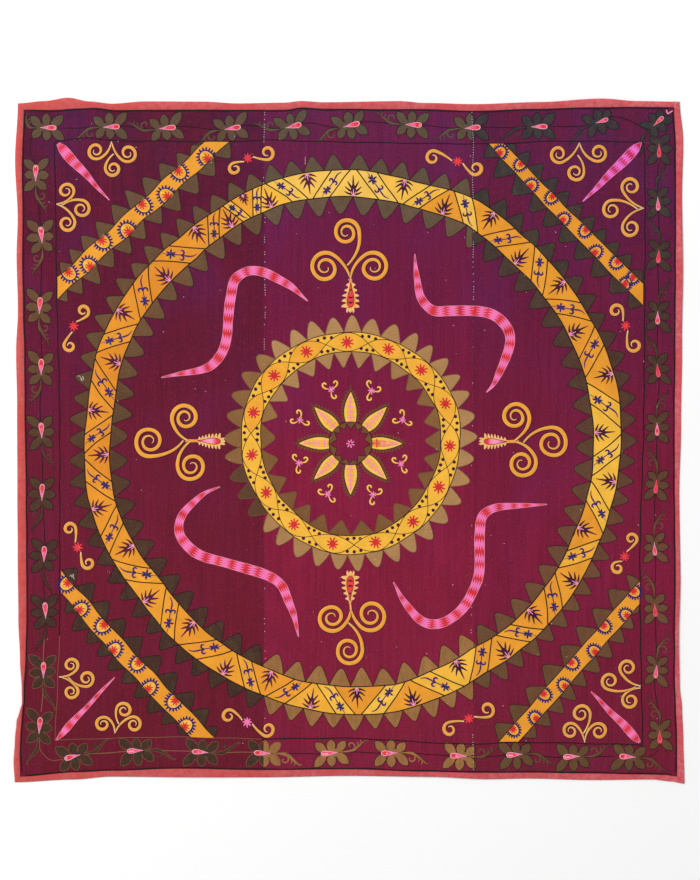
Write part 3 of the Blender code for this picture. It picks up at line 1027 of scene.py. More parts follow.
# Tooth tips as runs of even spacing: first angle, teeth before the next run's first
OUTER_TIPS = [(88.3, 20), (0.1, 22), (-89.3, 20), (-176.2, 21), (-266.5, 1), (-271.7, 0)]
INNER_TIPS = [(86.9, 15), (3.5, 1), (-1.4, 16), (-87.6, 1), (-92.5, 15), (-175.4, 1), (-181.7, 16),
              (-267.6, 1), (-273.1, 0)]

# Palmettes: angle, whether they grow from the outer edge
PALMETTES = [
    (108.8, 0), (99.4, 1), (89.5, 0), (78.3, 1), (68.2, 0), (58.1, 1), (47.5, 0), (36.9, 1), (26.1, 0),
    (14.7, 1), (2.2, 0), (-8.6, 1), (-20.6, 0), (-32, 1), (-43.5, 0), (-53.7, 1), (-64.4, 0), (-76.6, 1),
    (-88.6, 0), (-98.7, 1), (-109.1, 0), (-118.9, 1), (-131, 0), (-142.2, 1), (-154.5, 0), (-165.4, 1),
    (-177, 0), (-187, 1), (-198.7, 0), (-209.5, 1), (-221.7, 0), (-233.7, 1), (-241.2, 0), (-246.2, 1),
]
# Cells worked in yellow, by the number of the palmette and of the bar after it
YELLOW_PALMETTES = {0: 0.7, 1: 0.84, 2: 0.84, 3: 0.8, 10: 0.74, 11: 0.74, 16: 0.7, 19: 0.55}
YELLOW_BARS = {0: 0.84, 1: 0.86, 2: 0.86, 3: 0.76, 4: 0.8, 9: 0.68, 10: 0.78, 11: 0.74, 12: 0.56, 16: 0.68,
               17: 0.78, 18: 0.74, 32: 0.68, 33: 0.72}
# Cells of a deeper orange and how much deeper, bars whose motif runs the other way, and the small palmette
DEEP_CELLS = range(25, 32)
DEEPER = 0.2
REVERSED_BARS = range(10, 14)
LAST_PALMETTE_SIZE = 0.55

# Where a bar's two lines meet the ring's edges, as shares of the way to the next palmette
BAR_SHARES = ((0.05, 0.54), (0.44, 0.95))


def tips(runs):
    """Every tooth tip's angle from the runs of even spacing."""
    angles = [np.linspace(a, b, n, endpoint=False) for (a, n), (b, _) in zip(runs, runs[1:])]
    return np.concatenate(angles)


def ring_point(ring, angle, share, out=0.0):
    """A point of a ring's band: share 0 at its inner edge, 1 at its outer, and out beyond that."""
    outer, inner = (ring[edge] + np.interp(angle, ring["strays"][:, 0], ring["strays"][:, column], period=360)
                    for column, edge in ((1, "outer"), (2, "inner")))
    return np.array(ring["middle"]) + polar(inner + (outer - inner) * share + out, angle)


def ring_teeth(fill, line, ring, outside, angles, heights, tones, line_tone=0.1, shape=TOOTH):
    """A row of teeth round the outer or the inner edge of a ring."""
    share, way = (1.0, 1) if outside else (0.0, -1)
    teeth(fill, line, angles, heights, lambda a, h: ring_point(ring, a, share, way * h), tones, line_tone,
          shape=shape)


def ring_edges(line, ring, count, inset, half, tone):
    """A closed cord just inside each edge of a ring's band."""
    around = np.linspace(0, 360, count, endpoint=False)
    for share, out in ((0.0, inset), (1.0, -inset)):
        line.cord(ring_point(ring, around, share, out), half, CORD + 0.05, tone, closed=True)


def ring_cell(thread, left, right, tone):
    """One cell of the great ring between two lines, each given as its angle at the inner and outer edge."""
    shares = np.linspace(0, 1, 8)
    sides = [side[0] + (side[1] - side[0]) * shares for side in (left, right)]
    count = max(2, round(math.radians(max(abs(sides[0] - sides[1]))) * GREAT_RING["outer"] / 9))
    angles = sides[0][:, None] + (sides[1] - sides[0])[:, None] * np.linspace(0, 1, count)
    plan = ring_point(GREAT_RING, angles.ravel(), np.repeat(shares, count))
    thread.grid(plan, 8, count, FILL + 0.05, tone)


def bar_lines():
    """The lines across the great ring as angles at its inner and outer edge, two after each palmette."""
    lines = []
    for k, (angle, base) in enumerate(PALMETTES):
        following = PALMETTES[k + 1][0] if k + 1 < len(PALMETTES) else PALMETTES[0][0] - 360
        for shares in BAR_SHARES:
            ends = [angle + (following - angle) * s for s in shares]
            lines.append(ends if base else ends[::-1])
    return lines


def palmette(spikes, hearts, angle, base, size):
    """A spiky plum flower with a pink heart, which grows from one edge of the great ring."""
    at = ring_point(GREAT_RING, [angle], base, -2.0 if base else 2.0)[0]
    way = (np.array(GREAT_RING["middle"]) - at) * (1 if base else -1)
    maroon = 0.05 + 0.35 * (at[0] < 0)
    fan_out(spikes, at, way, PALMETTE_SPIKES, SECOND + 0.1, maroon, size)
    spikes.patch(placed(spline(PALMETTE_BODY, 3.0, True), at, way, size), SECOND, maroon)
    fan_out(hearts, at, way, PALMETTE_HEART, THIRD + 0.1, 0.86, size)


def outer_ring():
    """The great ring: two rows of teeth and an orange band of palmettes and barred cells."""
    fill, line = Thread("outer_ring_teeth", leaf), Thread("outer_ring_lines", outline)
    cells, spikes = Thread("outer_ring_band", orange), Thread("outer_ring_palmettes", plum)
    hearts, bars = Thread("outer_ring_hearts", red), Thread("outer_ring_crosses", violet)
    outer, inner = tips(OUTER_TIPS), tips(INNER_TIPS)
    tones = [0.5, 0.35, 0.6, 0.45, 0.7]
    ring_teeth(fill, line, GREAT_RING, True, outer, 48 + 3 * np.sin(outer * 2.3), tones)
    ring_teeth(fill, line, GREAT_RING, False, inner, 56 + 3 * np.sin(inner * 1.7),
               [tone + 0.2 for tone in tones], shape=BLUNT_TOOTH)
    ring_edges(line, GREAT_RING, 900, 0.8, 1.9, 0.0)
    lines = bar_lines()
    shares = np.linspace(0, 1, 22)
    for k, (angle, base) in enumerate(PALMETTES):
        before, bar_start, bar_end = lines[2 * k - 1], lines[2 * k], lines[2 * k + 1]
        if k == 0:
            before = [a + 360 for a in before]
        deeper = DEEPER if k in DEEP_CELLS else 0.0
        ring_cell(cells, before, bar_start, YELLOW_PALMETTES.get(k, 0.3 - deeper + 0.08 * math.sin(3.1 * k)))
        ring_cell(cells, bar_start, bar_end, YELLOW_BARS.get(k, 0.36 - deeper + 0.1 * math.sin(2.3 * k)))
        palmette(spikes, hearts, angle, base, LAST_PALMETTE_SIZE if k == len(PALMETTES) - 1 else 1.0)
        for low, high in (bar_start, bar_end):
            line.cord(ring_point(GREAT_RING, low + (high - low) * shares, shares), 2.2, CORD, 0.0)
        bar_motif(bars, bar_start, bar_end, base, k)


def bar_motif(thread, start, end, base, number):
    """The star, anchor and tail that run along the middle of a bar."""
    middle = [(a + b) / 2 for a, b in zip(start, end)]
    points = ring_point(GREAT_RING, middle, np.array([0.0, 1.0]))
    first = points[0] if middle[0] > middle[1] else points[1]
    last = points[1] if middle[0] > middle[1] else points[0]
    if number in REVERSED_BARS:
        first, last = last, first
    at, way = (first + last) / 2, last - first
    scale = np.hypot(*way) / BAR_LENGTH
    flip = 1 if base else -1
    thread.stroke(placed(BAR_STEM, at, way, scale, flip), [0.8, 2.0, 2.2, 1.9], SECOND, 0.75)
    for turn in (25, 90, 155, 205, 270, 335):
        arm = polar(1.0, [turn])[0]
        path = [BAR_STAR + arm * 1.5, BAR_STAR + arm * 8, BAR_STAR + arm * 15]
        thread.stroke(placed(path, at, way, scale), [2.4, 4.2, 1.8], THIRD, 0.1)
    for side in (1, -1):
        thread.stroke(placed(BAR_HOOK, at, way, scale, side), [2.4, 3.4, 3.6, 3.2, 1.6], THIRD, 0.15, 2.5)
    thread.stroke(placed(BAR_TAIL, at, way, scale, flip), [2.2, 3.2, 2.4, 1.0], THIRD, 0.75)


SMALL_OUTER_TIPS = [
    177.9, 167.5, 157.7, 147.3, 136.9, 127.4, 117.4, 108.4, 98, 88.9, 79.6, 68.7, 58.3, 49.5, 40.2, 31.2,
    22.5, 11.7, 2, -8.3, -18.8, -29.2, -40, -50, -60, -68.4, -78, -87, -96, -105.3, -115.5, -126, -134.2,
    -144.7, -154, -163.4, -173.2,
]
SMALL_INNER_TIPS = [
    160.5, 146.6, 133.4, 119.4, 106.3, 95, 83.5, 70.3, 56.2, 42.7, 29.6, 15.3, 0.6, -12.9, -25.4, -39.3,
    -54.7, -68.7, -82.5, -97, -110.5, -123.4, -137.3, -151.2, -166.5, -183.5,
]
SMALL_RING_STARS = [163, 139, 116, 92, 68, 45.5, 22, -2, -27, -52, -76, -100, -124.5, -149, -172.5]

# Tones of the small ring's teeth, as angles and the tone at each of them
SMALL_OUTER_TONES = [
    (-180, 0.5), (-170, 0.55), (-163, 0.1), (-140, 0.1), (-136, 0.85), (0, 0.9), (45, 0.85), (130, 0.95),
    (140, 0.55), (180, 0.5),
]
SMALL_INNER_TONES = [
    (-184, 0.45), (-120, 0.4), (-10, 0.45), (10, 0.5), (48, 0.55), (60, 0.85), (155, 0.85), (165, 0.5),
]

# The dots where two lozenges meet: shares of the band's width, its bow there, and degrees between dots
DOT_ROWS = ((0.19, -0.04), (0.81, 0.04))
DOT_PITCH = 3.6


def small_ring():
    """The yellow ring: lozenges with a red star each, between two rows of camel teeth."""
    fill, line = Thread("small_ring_teeth", camel), Thread("small_ring_lines", outline)
    cover, stars = Thread("small_ring_band", orange), Thread("small_ring_stars", red)
    dots = Thread("small_ring_dots", plum)
    outer, inner = np.array(SMALL_OUTER_TIPS), np.array(SMALL_INNER_TIPS)
    ring_teeth(fill, line, SMALL_RING, True, outer, 51 + 2 * np.sin(outer),
               np.interp(outer, *zip(*SMALL_OUTER_TONES)), 0.7, BLUNT_TOOTH)
    ring_teeth(fill, line, SMALL_RING, False, inner, 47 + 2 * np.sin(inner),
               np.interp(inner, *zip(*SMALL_INNER_TONES)), 0.7)
    around = np.linspace(0, 360, 361)
    cover.band(ring_point(SMALL_RING, around, 0.0), ring_point(SMALL_RING, around, 1.0), FILL, 0.74)
    ring_edges(line, SMALL_RING, 360, 0.6, 1.4, 0.15)
    for k, angle in enumerate(SMALL_RING_STARS):
        following = (SMALL_RING_STARS + [SMALL_RING_STARS[0] - 360])[k + 1]
        before = ([SMALL_RING_STARS[-1] + 360] + SMALL_RING_STARS)[k]
        lozenge(cover, line, (before + angle) / 2, angle, (angle + following) / 2)
        star(stars, ring_point(SMALL_RING, [angle], 0.5)[0], 20.5, 9, angle + 11, 3.8, THIRD, 0.05, 0.7)
        for share, bow in DOT_ROWS:
            for step in (-1, 0, 1):
                turn = (angle + following) / 2 + DOT_PITCH * step
                spot = ring_point(SMALL_RING, [turn], share if step else share + bow)[0]
                dots.patch(spot + polar(5.3, np.arange(0, 360, 40)), THIRD, 0.0)


def lozenge(cover, line, first, middle, last):
    """A pointed oval in the small ring's band between two angles, with a line along each side."""
    reach = np.linspace(-1, 1, 25)
    turn = np.where(reach < 0, middle + (middle - first) * reach, middle + (last - middle) * reach)
    bow = 0.47 * np.cos(reach * math.pi / 2) ** 0.9
    low, high = (ring_point(SMALL_RING, turn, 0.5 + s * bow) for s in (-1, 1))
    tone = 0.58 + 0.1 * (middle < 0) - 0.1 * (middle > 100)
    cover.patch(np.vstack([low, high[-2:0:-1]]), FILL + 0.3, tone)
    line.cord(low, 1.2, CORD + 0.1, 0.2)
    line.cord(high, 1.2, CORD + 0.12, 0.2)


ROSETTE = (5, -8)
ROSETTE_TEETH = [(135, 18), (113, 16), (90, 19), (65, 18), (43, 18), (14, 18), (-21, 18), (-58, 18),
                 (-81, 12), (-106, 13), (-126.5, 15), (-159.6, 18), (-197, 19)]
# Half of a petal's outline, and of the toothed edging round it, X outwards from the rosette's middle, and
# how far out petals end and blossoms sit
PETAL_SIDE = [(66, 16), (84, 19.6), (104, 19.3), (126, 14.2), (146, 7), (162, 0)]
EDGING_SIDE = [(68, 19), (86, 23), (106, 22.7), (128, 17.6), (149, 9.6), (166, 1.5)]
SHORT_TIP = 177
LONG_TIP = 188
BLOSSOM_REACHES = (80, 97, 113, 128, 141)
HOOK = [(6, 0), (15, -2), (23, -1), (28.5, 4), (27.5, 10), (22, 12), (18.5, 8.5)]
TREFOILS = [
    ((-55, 159), 42), ((69, 155), 0), ((167, 64), 80), ((162, -71), 45), ((74, -167), 12),
    ((-65, -165), 58), ((-156, -69), 14), ((-152, 64), 83),
]


def rosette():
    """The middle flower: eight pointed petals round a toothed ring, and eight small trefoils."""
    olive, line = Thread("rosette_edging", camel), Thread("rosette_lines", outline)
    yellow, pink = Thread("rosette_petals", orange), Thread("rosette_flowers", red)
    middle = np.array(ROSETTE, float)
    star(pink, middle, 13.5, 7, 78, 2.5, THIRD, 0.74, 0.8, 3.0)
    turn = np.arange(0, 360, 5.0)
    olive.band(*(middle + polar(r, np.append(turn, 0)) for r in (61, 66)), FILL, 0.3, 3)
    places, heights = np.array(ROSETTE_TEETH, float).T
    teeth(olive, line, places, heights, lambda a, h: middle + polar(62 - h, a), [0.3, 0.36], 0.3)
    line.cord(middle + polar(66.5, turn), 1.1, CORD, 0.1, closed=True)
    for k in range(8):
        rosette_petal(olive, line, yellow, pink, middle, k)
    for at, first in TREFOILS:
        at = np.array(at, float)
        star(pink, at, 11.5, 7, first + 20, 2.2, CORD, 0.76, 0.6)
        for arm in range(3):
            hook = placed(HOOK, at, polar(1.0, [first + 120 * arm])[0], 1, -1 if arm == 1 else 1)
            yellow.stroke(hook, [1.1, 2.0, 2.7, 3.0, 3.0, 2.8, 2.0], FILL + 0.2, 0.84, 2.5)


def rosette_petal(olive, line, yellow, pink, middle, k):
    """One of the rosette's petals: its toothed edging, its outline, and a stem of pink blossoms."""
    way = polar(1.0, [45 * k])[0]
    side, edging_side = spline(PETAL_SIDE, 4.0), spline(EDGING_SIDE, 2.0)
    rim = np.vstack([side, side[-2::-1] * (1, -1)])
    for flip in (1, -1):
        edging = placed(edging_side, middle, way, 1, flip)
        olive.cord(edging, 2.0, FILL + 0.2, 0.2)
        small_teeth(olive, edging, flip, 9.6, 7.0)
        line.cord(placed(side, middle, way, 1, flip), 1.0, CORD + 0.1, 0.15)
    tip = LONG_TIP if k == 2 else SHORT_TIP
    olive.stroke(placed([(160, 0), (169, 0.5), (tip, 0)], middle, way), [3.4, 2.0, 0.6], FILL + 0.2, 0.2)
    yellow.patch(placed(rim, middle, way), FILL + 0.1, 0.84)
    yellow.patch(placed(rim * (0.84, 0.6) + (13, 0), middle, way), FILL + 0.3, 0.66 if k else 0.15)
    pink.cord(placed(even([(76, 0), (140, 0)]), middle, way), 2.2, CORD, 0.8)
    for number, reach in enumerate(BLOSSOM_REACHES):
        radius, half = 13.5 - 1.8 * number, 2.8 - 0.2 * number
        tone = 0.8 if k or number else 0.2
        star(pink, middle + way * reach, radius, 4, 45 * k, half, THIRD - 0.1, tone, 0.8)


def small_teeth(fill, edge, side, pitch, height):
    """Pointed little teeth along one side of an edge."""
    path = even(edge, pitch / 2)
    out = normals(path) * side
    for k in range(1, len(path) - 1, 2):
        tooth = np.array([path[k - 1], path[k] + out[k] * (height + 2), path[k + 1]])
        fill.patch(tooth if side < 0 else tooth[::-1], FILL + 0.1, 0.3)


def scroll(thread, line, root, middle, radius, turn, turns, half, tone, taper, shrink, late, edge):
    """An outlined stem that winds into a coil, narrow and pale at both ends; a late coil bows its stem."""
    root, middle = np.asarray(root, float), np.asarray(middle, float)
    reach = root - middle
    distance = max(np.hypot(*reach), radius * 1.02)
    touch = math.degrees(math.acos(radius / distance)) + late
    start = math.degrees(math.atan2(reach[1], reach[0])) + turn * touch
    share = np.linspace(0, 1, 60)
    coil = middle + polar(radius * (1 - shrink * share), start + turn * 360 * turns * share)
    span = math.dist(root, coil[0])
    bend = coil[0] - (coil[1] - coil[0]) / math.dist(coil[0], coil[1]) * span * 0.5
    t = np.linspace(0, 1, 16, endpoint=False)[:, None]
    stem = root * (1 - t) ** 2 + bend * 2 * t * (1 - t) + coil[0] * t ** 2
    path = even(np.vstack([stem, coil]), 4.0)
    place = np.linspace(0, 1, len(path))
    widths = half * np.interp(place, [0, taper * 0.5, taper, 0.72, 0.88, 1], [0.42, 0.78, 1, 0.9, 0.6, 0.24])
    tones = np.interp(place, [0, 0.1, 0.84, 0.95, 1], [tone + 0.35, tone, tone, tone + 0.12, tone + 0.2])
    thread.cord(path, widths, FILL + 0.35, tones, rows=True)
    line.edges(path, widths + (edge - EDGE_LAP), edge, SECOND, 0.1)


# An almond, X from its root to its tip: outlines, the teeth at its tip, and where its heart's tones are set
ALMOND_BODY = mirrored([(0, 0), (18, 7), (45, 12.5), (72, 13), (84, 7), (87, 0)])
ALMOND_HEART = mirrored([(6, 0), (24, 3.5), (46, 8), (66, 9.5), (78, 5.5), (81, 0)])
ALMOND_SIDE_TOOTH = [(78, 0), (88, 4), (98, 9), (92, 12), (80, 10)]
ALMOND_END_TOOTH = [(80, 5), (93, 4), (97, 0), (93, -4), (80, -5)]
HEART_PLACES = (8, 30, 55, 68)

# The two kinds of almond: tones of its heart, size, teeth on each side, length of its trunk, and its dark
# marks as (place, reach)
UPRIGHT_ALMOND = {
    "tones": (0.25, 0.35, 0.3, 0.3), "size": 1.04, "teeth": 5, "trunk": 8,
    "marks": ((28, 2.5), (52, 6.5), (68, 6.5)),
}
LEVEL_ALMOND = {"tones": (0.1, 0.8, 0.92, 0.2), "size": 0.96, "teeth": 7, "trunk": 30, "marks": ()}
ALMONDS = [
    ((5, 497), (0, -1), UPRIGHT_ALMOND), ((-476, -1), (1, 0), LEVEL_ALMOND),
    ((496, -2), (-1, 0), LEVEL_ALMOND), ((4, -503), (0, 1), UPRIGHT_ALMOND),
]

# How each kind of scroll winds, and the half width of the cord along its sides
SCROLL_WINDS = ("turns", "half", "tone", "taper", "shrink", "late", "edge")
LARGE_SCROLL = dict(zip(SCROLL_WINDS, (1.9, 6.8, 0.35, 0.3, 0.82, 16, 0.9)))
CORNER_SCROLL = dict(zip(SCROLL_WINDS, (1.45, 5.6, 0.55, 0.5, 0.74, 14, 0.8)))
STAR_SCROLL = dict(zip(SCROLL_WINDS, (1.1, 6.0, 0.55, 0.55, 0.64, 0, 0.8)))
EDGE_LAP = 0.4

# How far coils are drawn inside the places measured for them, where star scrolls start, and the pink star
CORNER_COIL_TRIM = 1.3
STAR_COIL_TRIM = 3
STAR_ROOM = 17
PINK_STAR = 5


def almond(cover, core, line, marks, root, way, kind):
    """A toothed almond that the large scrolls spring from, with its heart, dark marks and trunk."""
    root, way = np.array(root, float), np.array(way, float)
    size, count = kind["size"], kind["teeth"]
    cover.patch(placed(spline(ALMOND_BODY, 5.0, True), root, way, size), FILL, 0.2)
    places = np.linspace(14, 76, count)
    outs = np.interp(places, [14, 45, 76], [14, 24, 26])
    width = 35 / count
    for place, out, lean in zip(places, outs, np.linspace(0, 4, count)):
        bend, tip = (place - width * 0.5, out * 0.75), (place + lean, out)
        tooth = spline([(place - width, 5), bend, tip, (place + width, 5)], 3.0)
        for flip in (1, -1):
            cover.patch(placed(tooth, root, way, size, flip), FILL + 0.02, 0.3)
    for flip in (1, -1):
        cover.patch(placed(ALMOND_SIDE_TOOTH, root, way, size, flip), FILL + 0.02, 0.3)
    cover.patch(placed(ALMOND_END_TOOTH, root, way, size), FILL + 0.02, 0.3)
    rim = placed(spline(ALMOND_HEART, 4.0, True), root, way, size)
    core.patch(rim, SECOND, lambda plan: np.interp((plan - root) @ way, HEART_PLACES, kind["tones"]))
    line.cord(rim, 0.9, CORD, 0.2, closed=True)
    trunk = root - way * kind["trunk"]
    cover.stroke([root + way * 6, lerp(root, trunk, 0.5), trunk], [4.2, 4.6, 5.2, 3.0], FILL + 0.33, 0.45)
    aside = np.array([-way[1], way[0]])
    for place, reach in kind["marks"]:
        at = root + way * place
        mark = [at - aside * reach, root + way * (place + 3), at + aside * reach]
        marks.stroke(mark, [2.0, 4.0, 2.0], THIRD, 0.1)


def scrolls():
    """Orange scrolls: four large groups, triplets in the corners, and pairs that share a star."""
    cover, core = Thread("scrolls", scroll_orange), Thread("scroll_stars", red)
    marks, line = Thread("almond_marks", plum), Thread("scroll_lines", outline)
    for root, middle, radius, turn in LARGE_SCROLLS:
        scroll(cover, line, root, middle, radius, turn, **LARGE_SCROLL)
    for root, middle, radius, turn in CORNER_SCROLLS:
        scroll(cover, line, root, middle, radius - CORNER_COIL_TRIM, turn, **CORNER_SCROLL)
    for number, (at, arms) in enumerate(STAR_SCROLLS):
        for middle, radius, turn in arms:
            way = np.subtract(middle, at) / math.dist(middle, at)
            root = np.add(at, way * STAR_ROOM)
            scroll(cover, line, root, middle, radius - STAR_COIL_TRIM, turn, **STAR_SCROLL)
        tone = 0.72 if number == PINK_STAR else 0.3
        star(core, np.array(at, float), STAR_ROOM, 8, 90 + 9 * number, 3.2, CORD + 0.1, tone)
    for root, way, kind in ALMONDS:
        almond(cover, core, line, marks, root, way, kind)


# Jagged bands: points across the strip, how far they are moved, where the first starts as a share of the
# pitch, and the strip's end that stays free
BAND_POINTS = 9
BAND_JAG = 8.0
FIRST_BAND = 0.2
BAND_STOP = 12


def banded(base, bands, path, widths, pitch, share, tone):
    """A tapered strip crossed by jagged bands of a second colour."""
    curve = even(spline(path, 3.0), 3.0)
    side = normals(curve)
    places = np.arange(len(curve)) * 3.0
    half = np.interp(places / places[-1], np.linspace(0, 1, len(widths)), widths)
    base.band(curve + side * half[:, None], curve - side * half[:, None], FILL, tone)
    for way in (1, -1):
        base.cord((curve + way * side * half[:, None])[::2], 0.7, SECOND, 0.86)

    def spot(place, across):
        point = [np.interp(place, places, curve[:, k]) for k in (0, 1)]
        normal = [np.interp(place, places, side[:, k]) for k in (0, 1)]
        out = across * np.interp(place, places, half)
        return np.column_stack(point) + np.column_stack(normal) * out[:, None]

    across = np.linspace(-1, 1, BAND_POINTS)
    jags = np.where(np.arange(BAND_POINTS) % 2, BAND_JAG, -BAND_JAG)
    for number, start in enumerate(np.arange(pitch * FIRST_BAND, places[-1] - BAND_STOP, pitch)):
        length = pitch * share * (0.9 + 0.2 * math.sin(2.1 * number))
        ends = [np.clip(start + jags, 0, places[-1]), np.clip(start + length + jags, 0, places[-1])]
        grid = ends[0] + (ends[1] - ends[0]) * np.linspace(0, 1, 4)[:, None]
        plan = spot(grid.ravel(), np.tile(across * 0.98, 4))
        bands.grid(plan, 4, BAND_POINTS, FILL + 0.22, 0.14 + 0.06 * math.sin(1.7 * number))


SNAKE_WIDTHS = [1, 7.5, 12.5, 14.5, 15, 15, 15, 14.5, 13.5, 10, 1]
SNAKE_PITCH = 43


def snakes_and_tapers():
    """Four curving snakes in the field and four straight tapers in the corners."""
    base, bands = Thread("snake_grounds", red), Thread("snake_bands", red)
    violet_taper = Thread("violet_taper_ground", magenta), Thread("crimson_taper_bands", magenta)
    for path in SNAKES:
        banded(base, bands, path, SNAKE_WIDTHS, SNAKE_PITCH, 0.5, 0.7)
    for name, (head, tip, pitch, widths) in TAPERS.items():
        threads = violet_taper if name == "top_right" else (base, bands)
        banded(*threads, lerp(head, tip, np.linspace(0, 1, 5)), widths, pitch, 0.52, 0.7)


class BandEdge:
    """One long edge of a corner band: a swaying, bowed line whose outer side carries teeth."""

    def __init__(self, ends, side, start, facts, bow):
        self.ends, self.side, self.start = np.array(ends, float), side, start
        self.sway, self.bow = facts["sway"], bow
        self.length = math.dist(*ends)

    def points(self, place, out):
        """Points at distances from the edge's start, and out from it."""
        start, end = self.ends
        way = (end - start) / self.length
        normal = np.array([-way[1], way[0]]) * self.side
        place = np.asarray(place, float)
        bow = self.bow * np.sin(math.pi * place / self.length)
        stray = self.sway * np.sin(place / 25 + start[0] / 40) + bow
        return start + place[:, None] * way + (np.asarray(out, float) + stray)[:, None] * normal


# Half suns keep this far from the ends of their edge
SUN_ROOM = 34


def corner_band(fill, line, cover, rays, hearts, facts):
    """A slanting orange band with half suns and two rows of teeth."""
    near, far, away = facts["near"], facts["far"], facts["far_side"]
    near_way = np.subtract(near[1], near[0]) / math.dist(*near)
    shift = np.subtract(far[0], near[0]) @ near_way
    edges = {
        "near": BandEdge(near, -away, 0.0, facts, -facts["bow"]),
        "far": BandEdge(far, away, shift, facts, facts["bow"]),
    }
    sides = []
    for name, edge in edges.items():
        places, heights = np.array(facts[f"{name}_teeth"], float).T
        first = max(places[0] - (places[1] - places[0]) / 2, edge.start + 1)
        last = min(places[-1] + (places[-1] - places[-2]) / 2, edge.start + edge.length - 1)
        teeth(fill, line, places, heights, lambda p, h: edge.points(p - edge.start, h), [0.5, 0.4, 0.62],
              0.1, first, last)
        sides.append(edge.points(np.linspace(0, edge.length, 110), np.zeros(110)))
        line.cord(sides[-1], 1.5, CORD + 0.05, 0.1)
    cover.band(*sides, FILL + 0.05, facts["tone"])
    others = {"near": "far", "far": "near"}
    name = facts["first_sun"]
    for place in facts["suns"]:
        edge = edges[name]
        place = np.clip(place - edge.start, SUN_ROOM, edge.length - SUN_ROOM)
        base = edge.points([place], [0.0])[0]
        half_sun(cover, rays, hearts, base, base - edge.points([place], [1.0])[0], facts["sun_size"])
        name = others[name]


def corner_bands():
    """The four slanting bands, one across each corner of the field."""
    fill, line = Thread("corner_band_teeth", leaf), Thread("corner_band_lines", outline)
    cover, rays = Thread("corner_bands", orange), Thread("half_sun_rays", violet)
    hearts = Thread("half_sun_flowers", red)
    for facts in DIAGONALS.values():
        corner_band(fill, line, cover, rays, hearts, facts)


# Half of a half sun's outline, X away from the band's edge, and its flower's petals: root, tip
SUN_SIDE = [(-1, 17.5), (11, 18.2), (24, 15.4), (32.5, 8.8), (35.5, 0)]
SUN_PETALS = [((6, -2), (5, -15)), ((8, -1.5), (16, -13)), ((9, 0), (24, -6)), ((9, 0), (24, 6)),
              ((8, 1.5), (16, 13)), ((6, 2), (5, 15))]
SUN_EYE = [(1, -9), (9, -4), (11, 0), (9, 4), (1, 9)]
RAY_LENGTH = 11.0


def half_sun(cover, rays, hearts, base, up, size):
    """A tall half disc that rests on a band's edge, with rays round it and a red flower in it."""
    side = spline(SUN_SIDE, 3.0)
    rim = np.vstack([side, side[-2::-1] * (1, -1)])
    cover.patch(placed(rim * (1.02, 1.06), base, up, size), FILL + 0.3, 0.8)
    cover.patch(placed(rim * (0.95, 0.93), base, up, size), FILL + 0.4, 0.42)
    arc = rim * (1.07, 1.15)
    rays.cord(placed(arc, base, up, size), 2.9, SECOND + 0.1, 0.15)
    roots = even(arc, 8.6)[1:-1]
    for at, ahead in zip(roots, np.gradient(roots, axis=0)):
        out = np.array([ahead[1], -ahead[0]]) / np.hypot(*ahead) * (-RAY_LENGTH)
        ray = [at, at + out * 0.5, at + out]
        rays.stroke(placed(ray, base, up, size), [4.2, 4.0, 1.6], SECOND + 0.12, 0.15, 3.0)
    for root, tip in SUN_PETALS:
        path = [root, lerp(root, tip, 0.6), tip]
        hearts.stroke(placed(path, base, up, size), [2.2, 3.3, 2.0], THIRD, 0.03, 3.0)
    hearts.patch(placed(SUN_EYE, base, up, size), THIRD - 0.05, 0.03)


# Border flower, X along its drop. Its stem is straight within STEM_HOLD of its middle, and its petals stay
# PETAL_ROOM clear of the binding
STEM_HOLD = 40.0
PETAL_ROOM = 5.0
PETALS = [((-9, 2), (-47, 42), 28), ((6, 2), (8, 45), 28), ((24, 2), (57, 36), 27)]
FLOWER_BODY = mirrored([(-16, 0), (-9, 9), (8, 13), (28, 11), (42, 0)])
DROP = mirrored([(-23, 0), (-19, 6), (-9, 7.5), (2, 5.5), (16, 2), (26, 0)])
TENDRIL_WIDTHS = [1.6, 2.8, 5.2, 4.2, 2.8, 1.9, 1.0]
TENDRIL = [(36, 0), (58, 0), (76, 3), (92, 13), (106, 24), (119, 33), (126, 30)]
TENDRIL_CURL = [(70, 1), (80, 10), (80, 21), (70, 26), (62, 20), (67, 15)]
TENDRIL_BARBS = [[(84, 8), (93, 19), (90, 30)], [(98, 17), (104, 27), (100, 35)]]
CORNER_TENDRIL = [(36, 0), (54, 0), (66, 10), (71, 26), (70, 40), (63, 44), (60, 36)]
CORNER_CURL = [(66, 21), (58, 26), (53, 20), (57, 14), (62, 17)]

# Left of and below PALE_CORNER outlines are in pale thread, and right of RIGHT_SIDE flowers are smaller
PALE_CORNER = (-250, -600)
RIGHT_SIDE = 900


def in_pale_corner(points):
    """Whether points lie where outlines are in pale thread."""
    return (np.asarray(points) < PALE_CORNER).all(-1)


def petal(root, tip, width):
    """The outline of a rounded petal, once round from its root."""
    length = math.dist(root, tip)
    shape = [(0, 0), (0.15, 0.3), (0.4, 0.5), (0.68, 0.46), (0.88, 0.24), (0.97, 0.08), (1.0, 0.0)]
    outline_points = mirrored([(x * length, y * width) for x, y in shape])
    return placed(spline(outline_points, 5.0, True), root, np.subtract(tip, root))


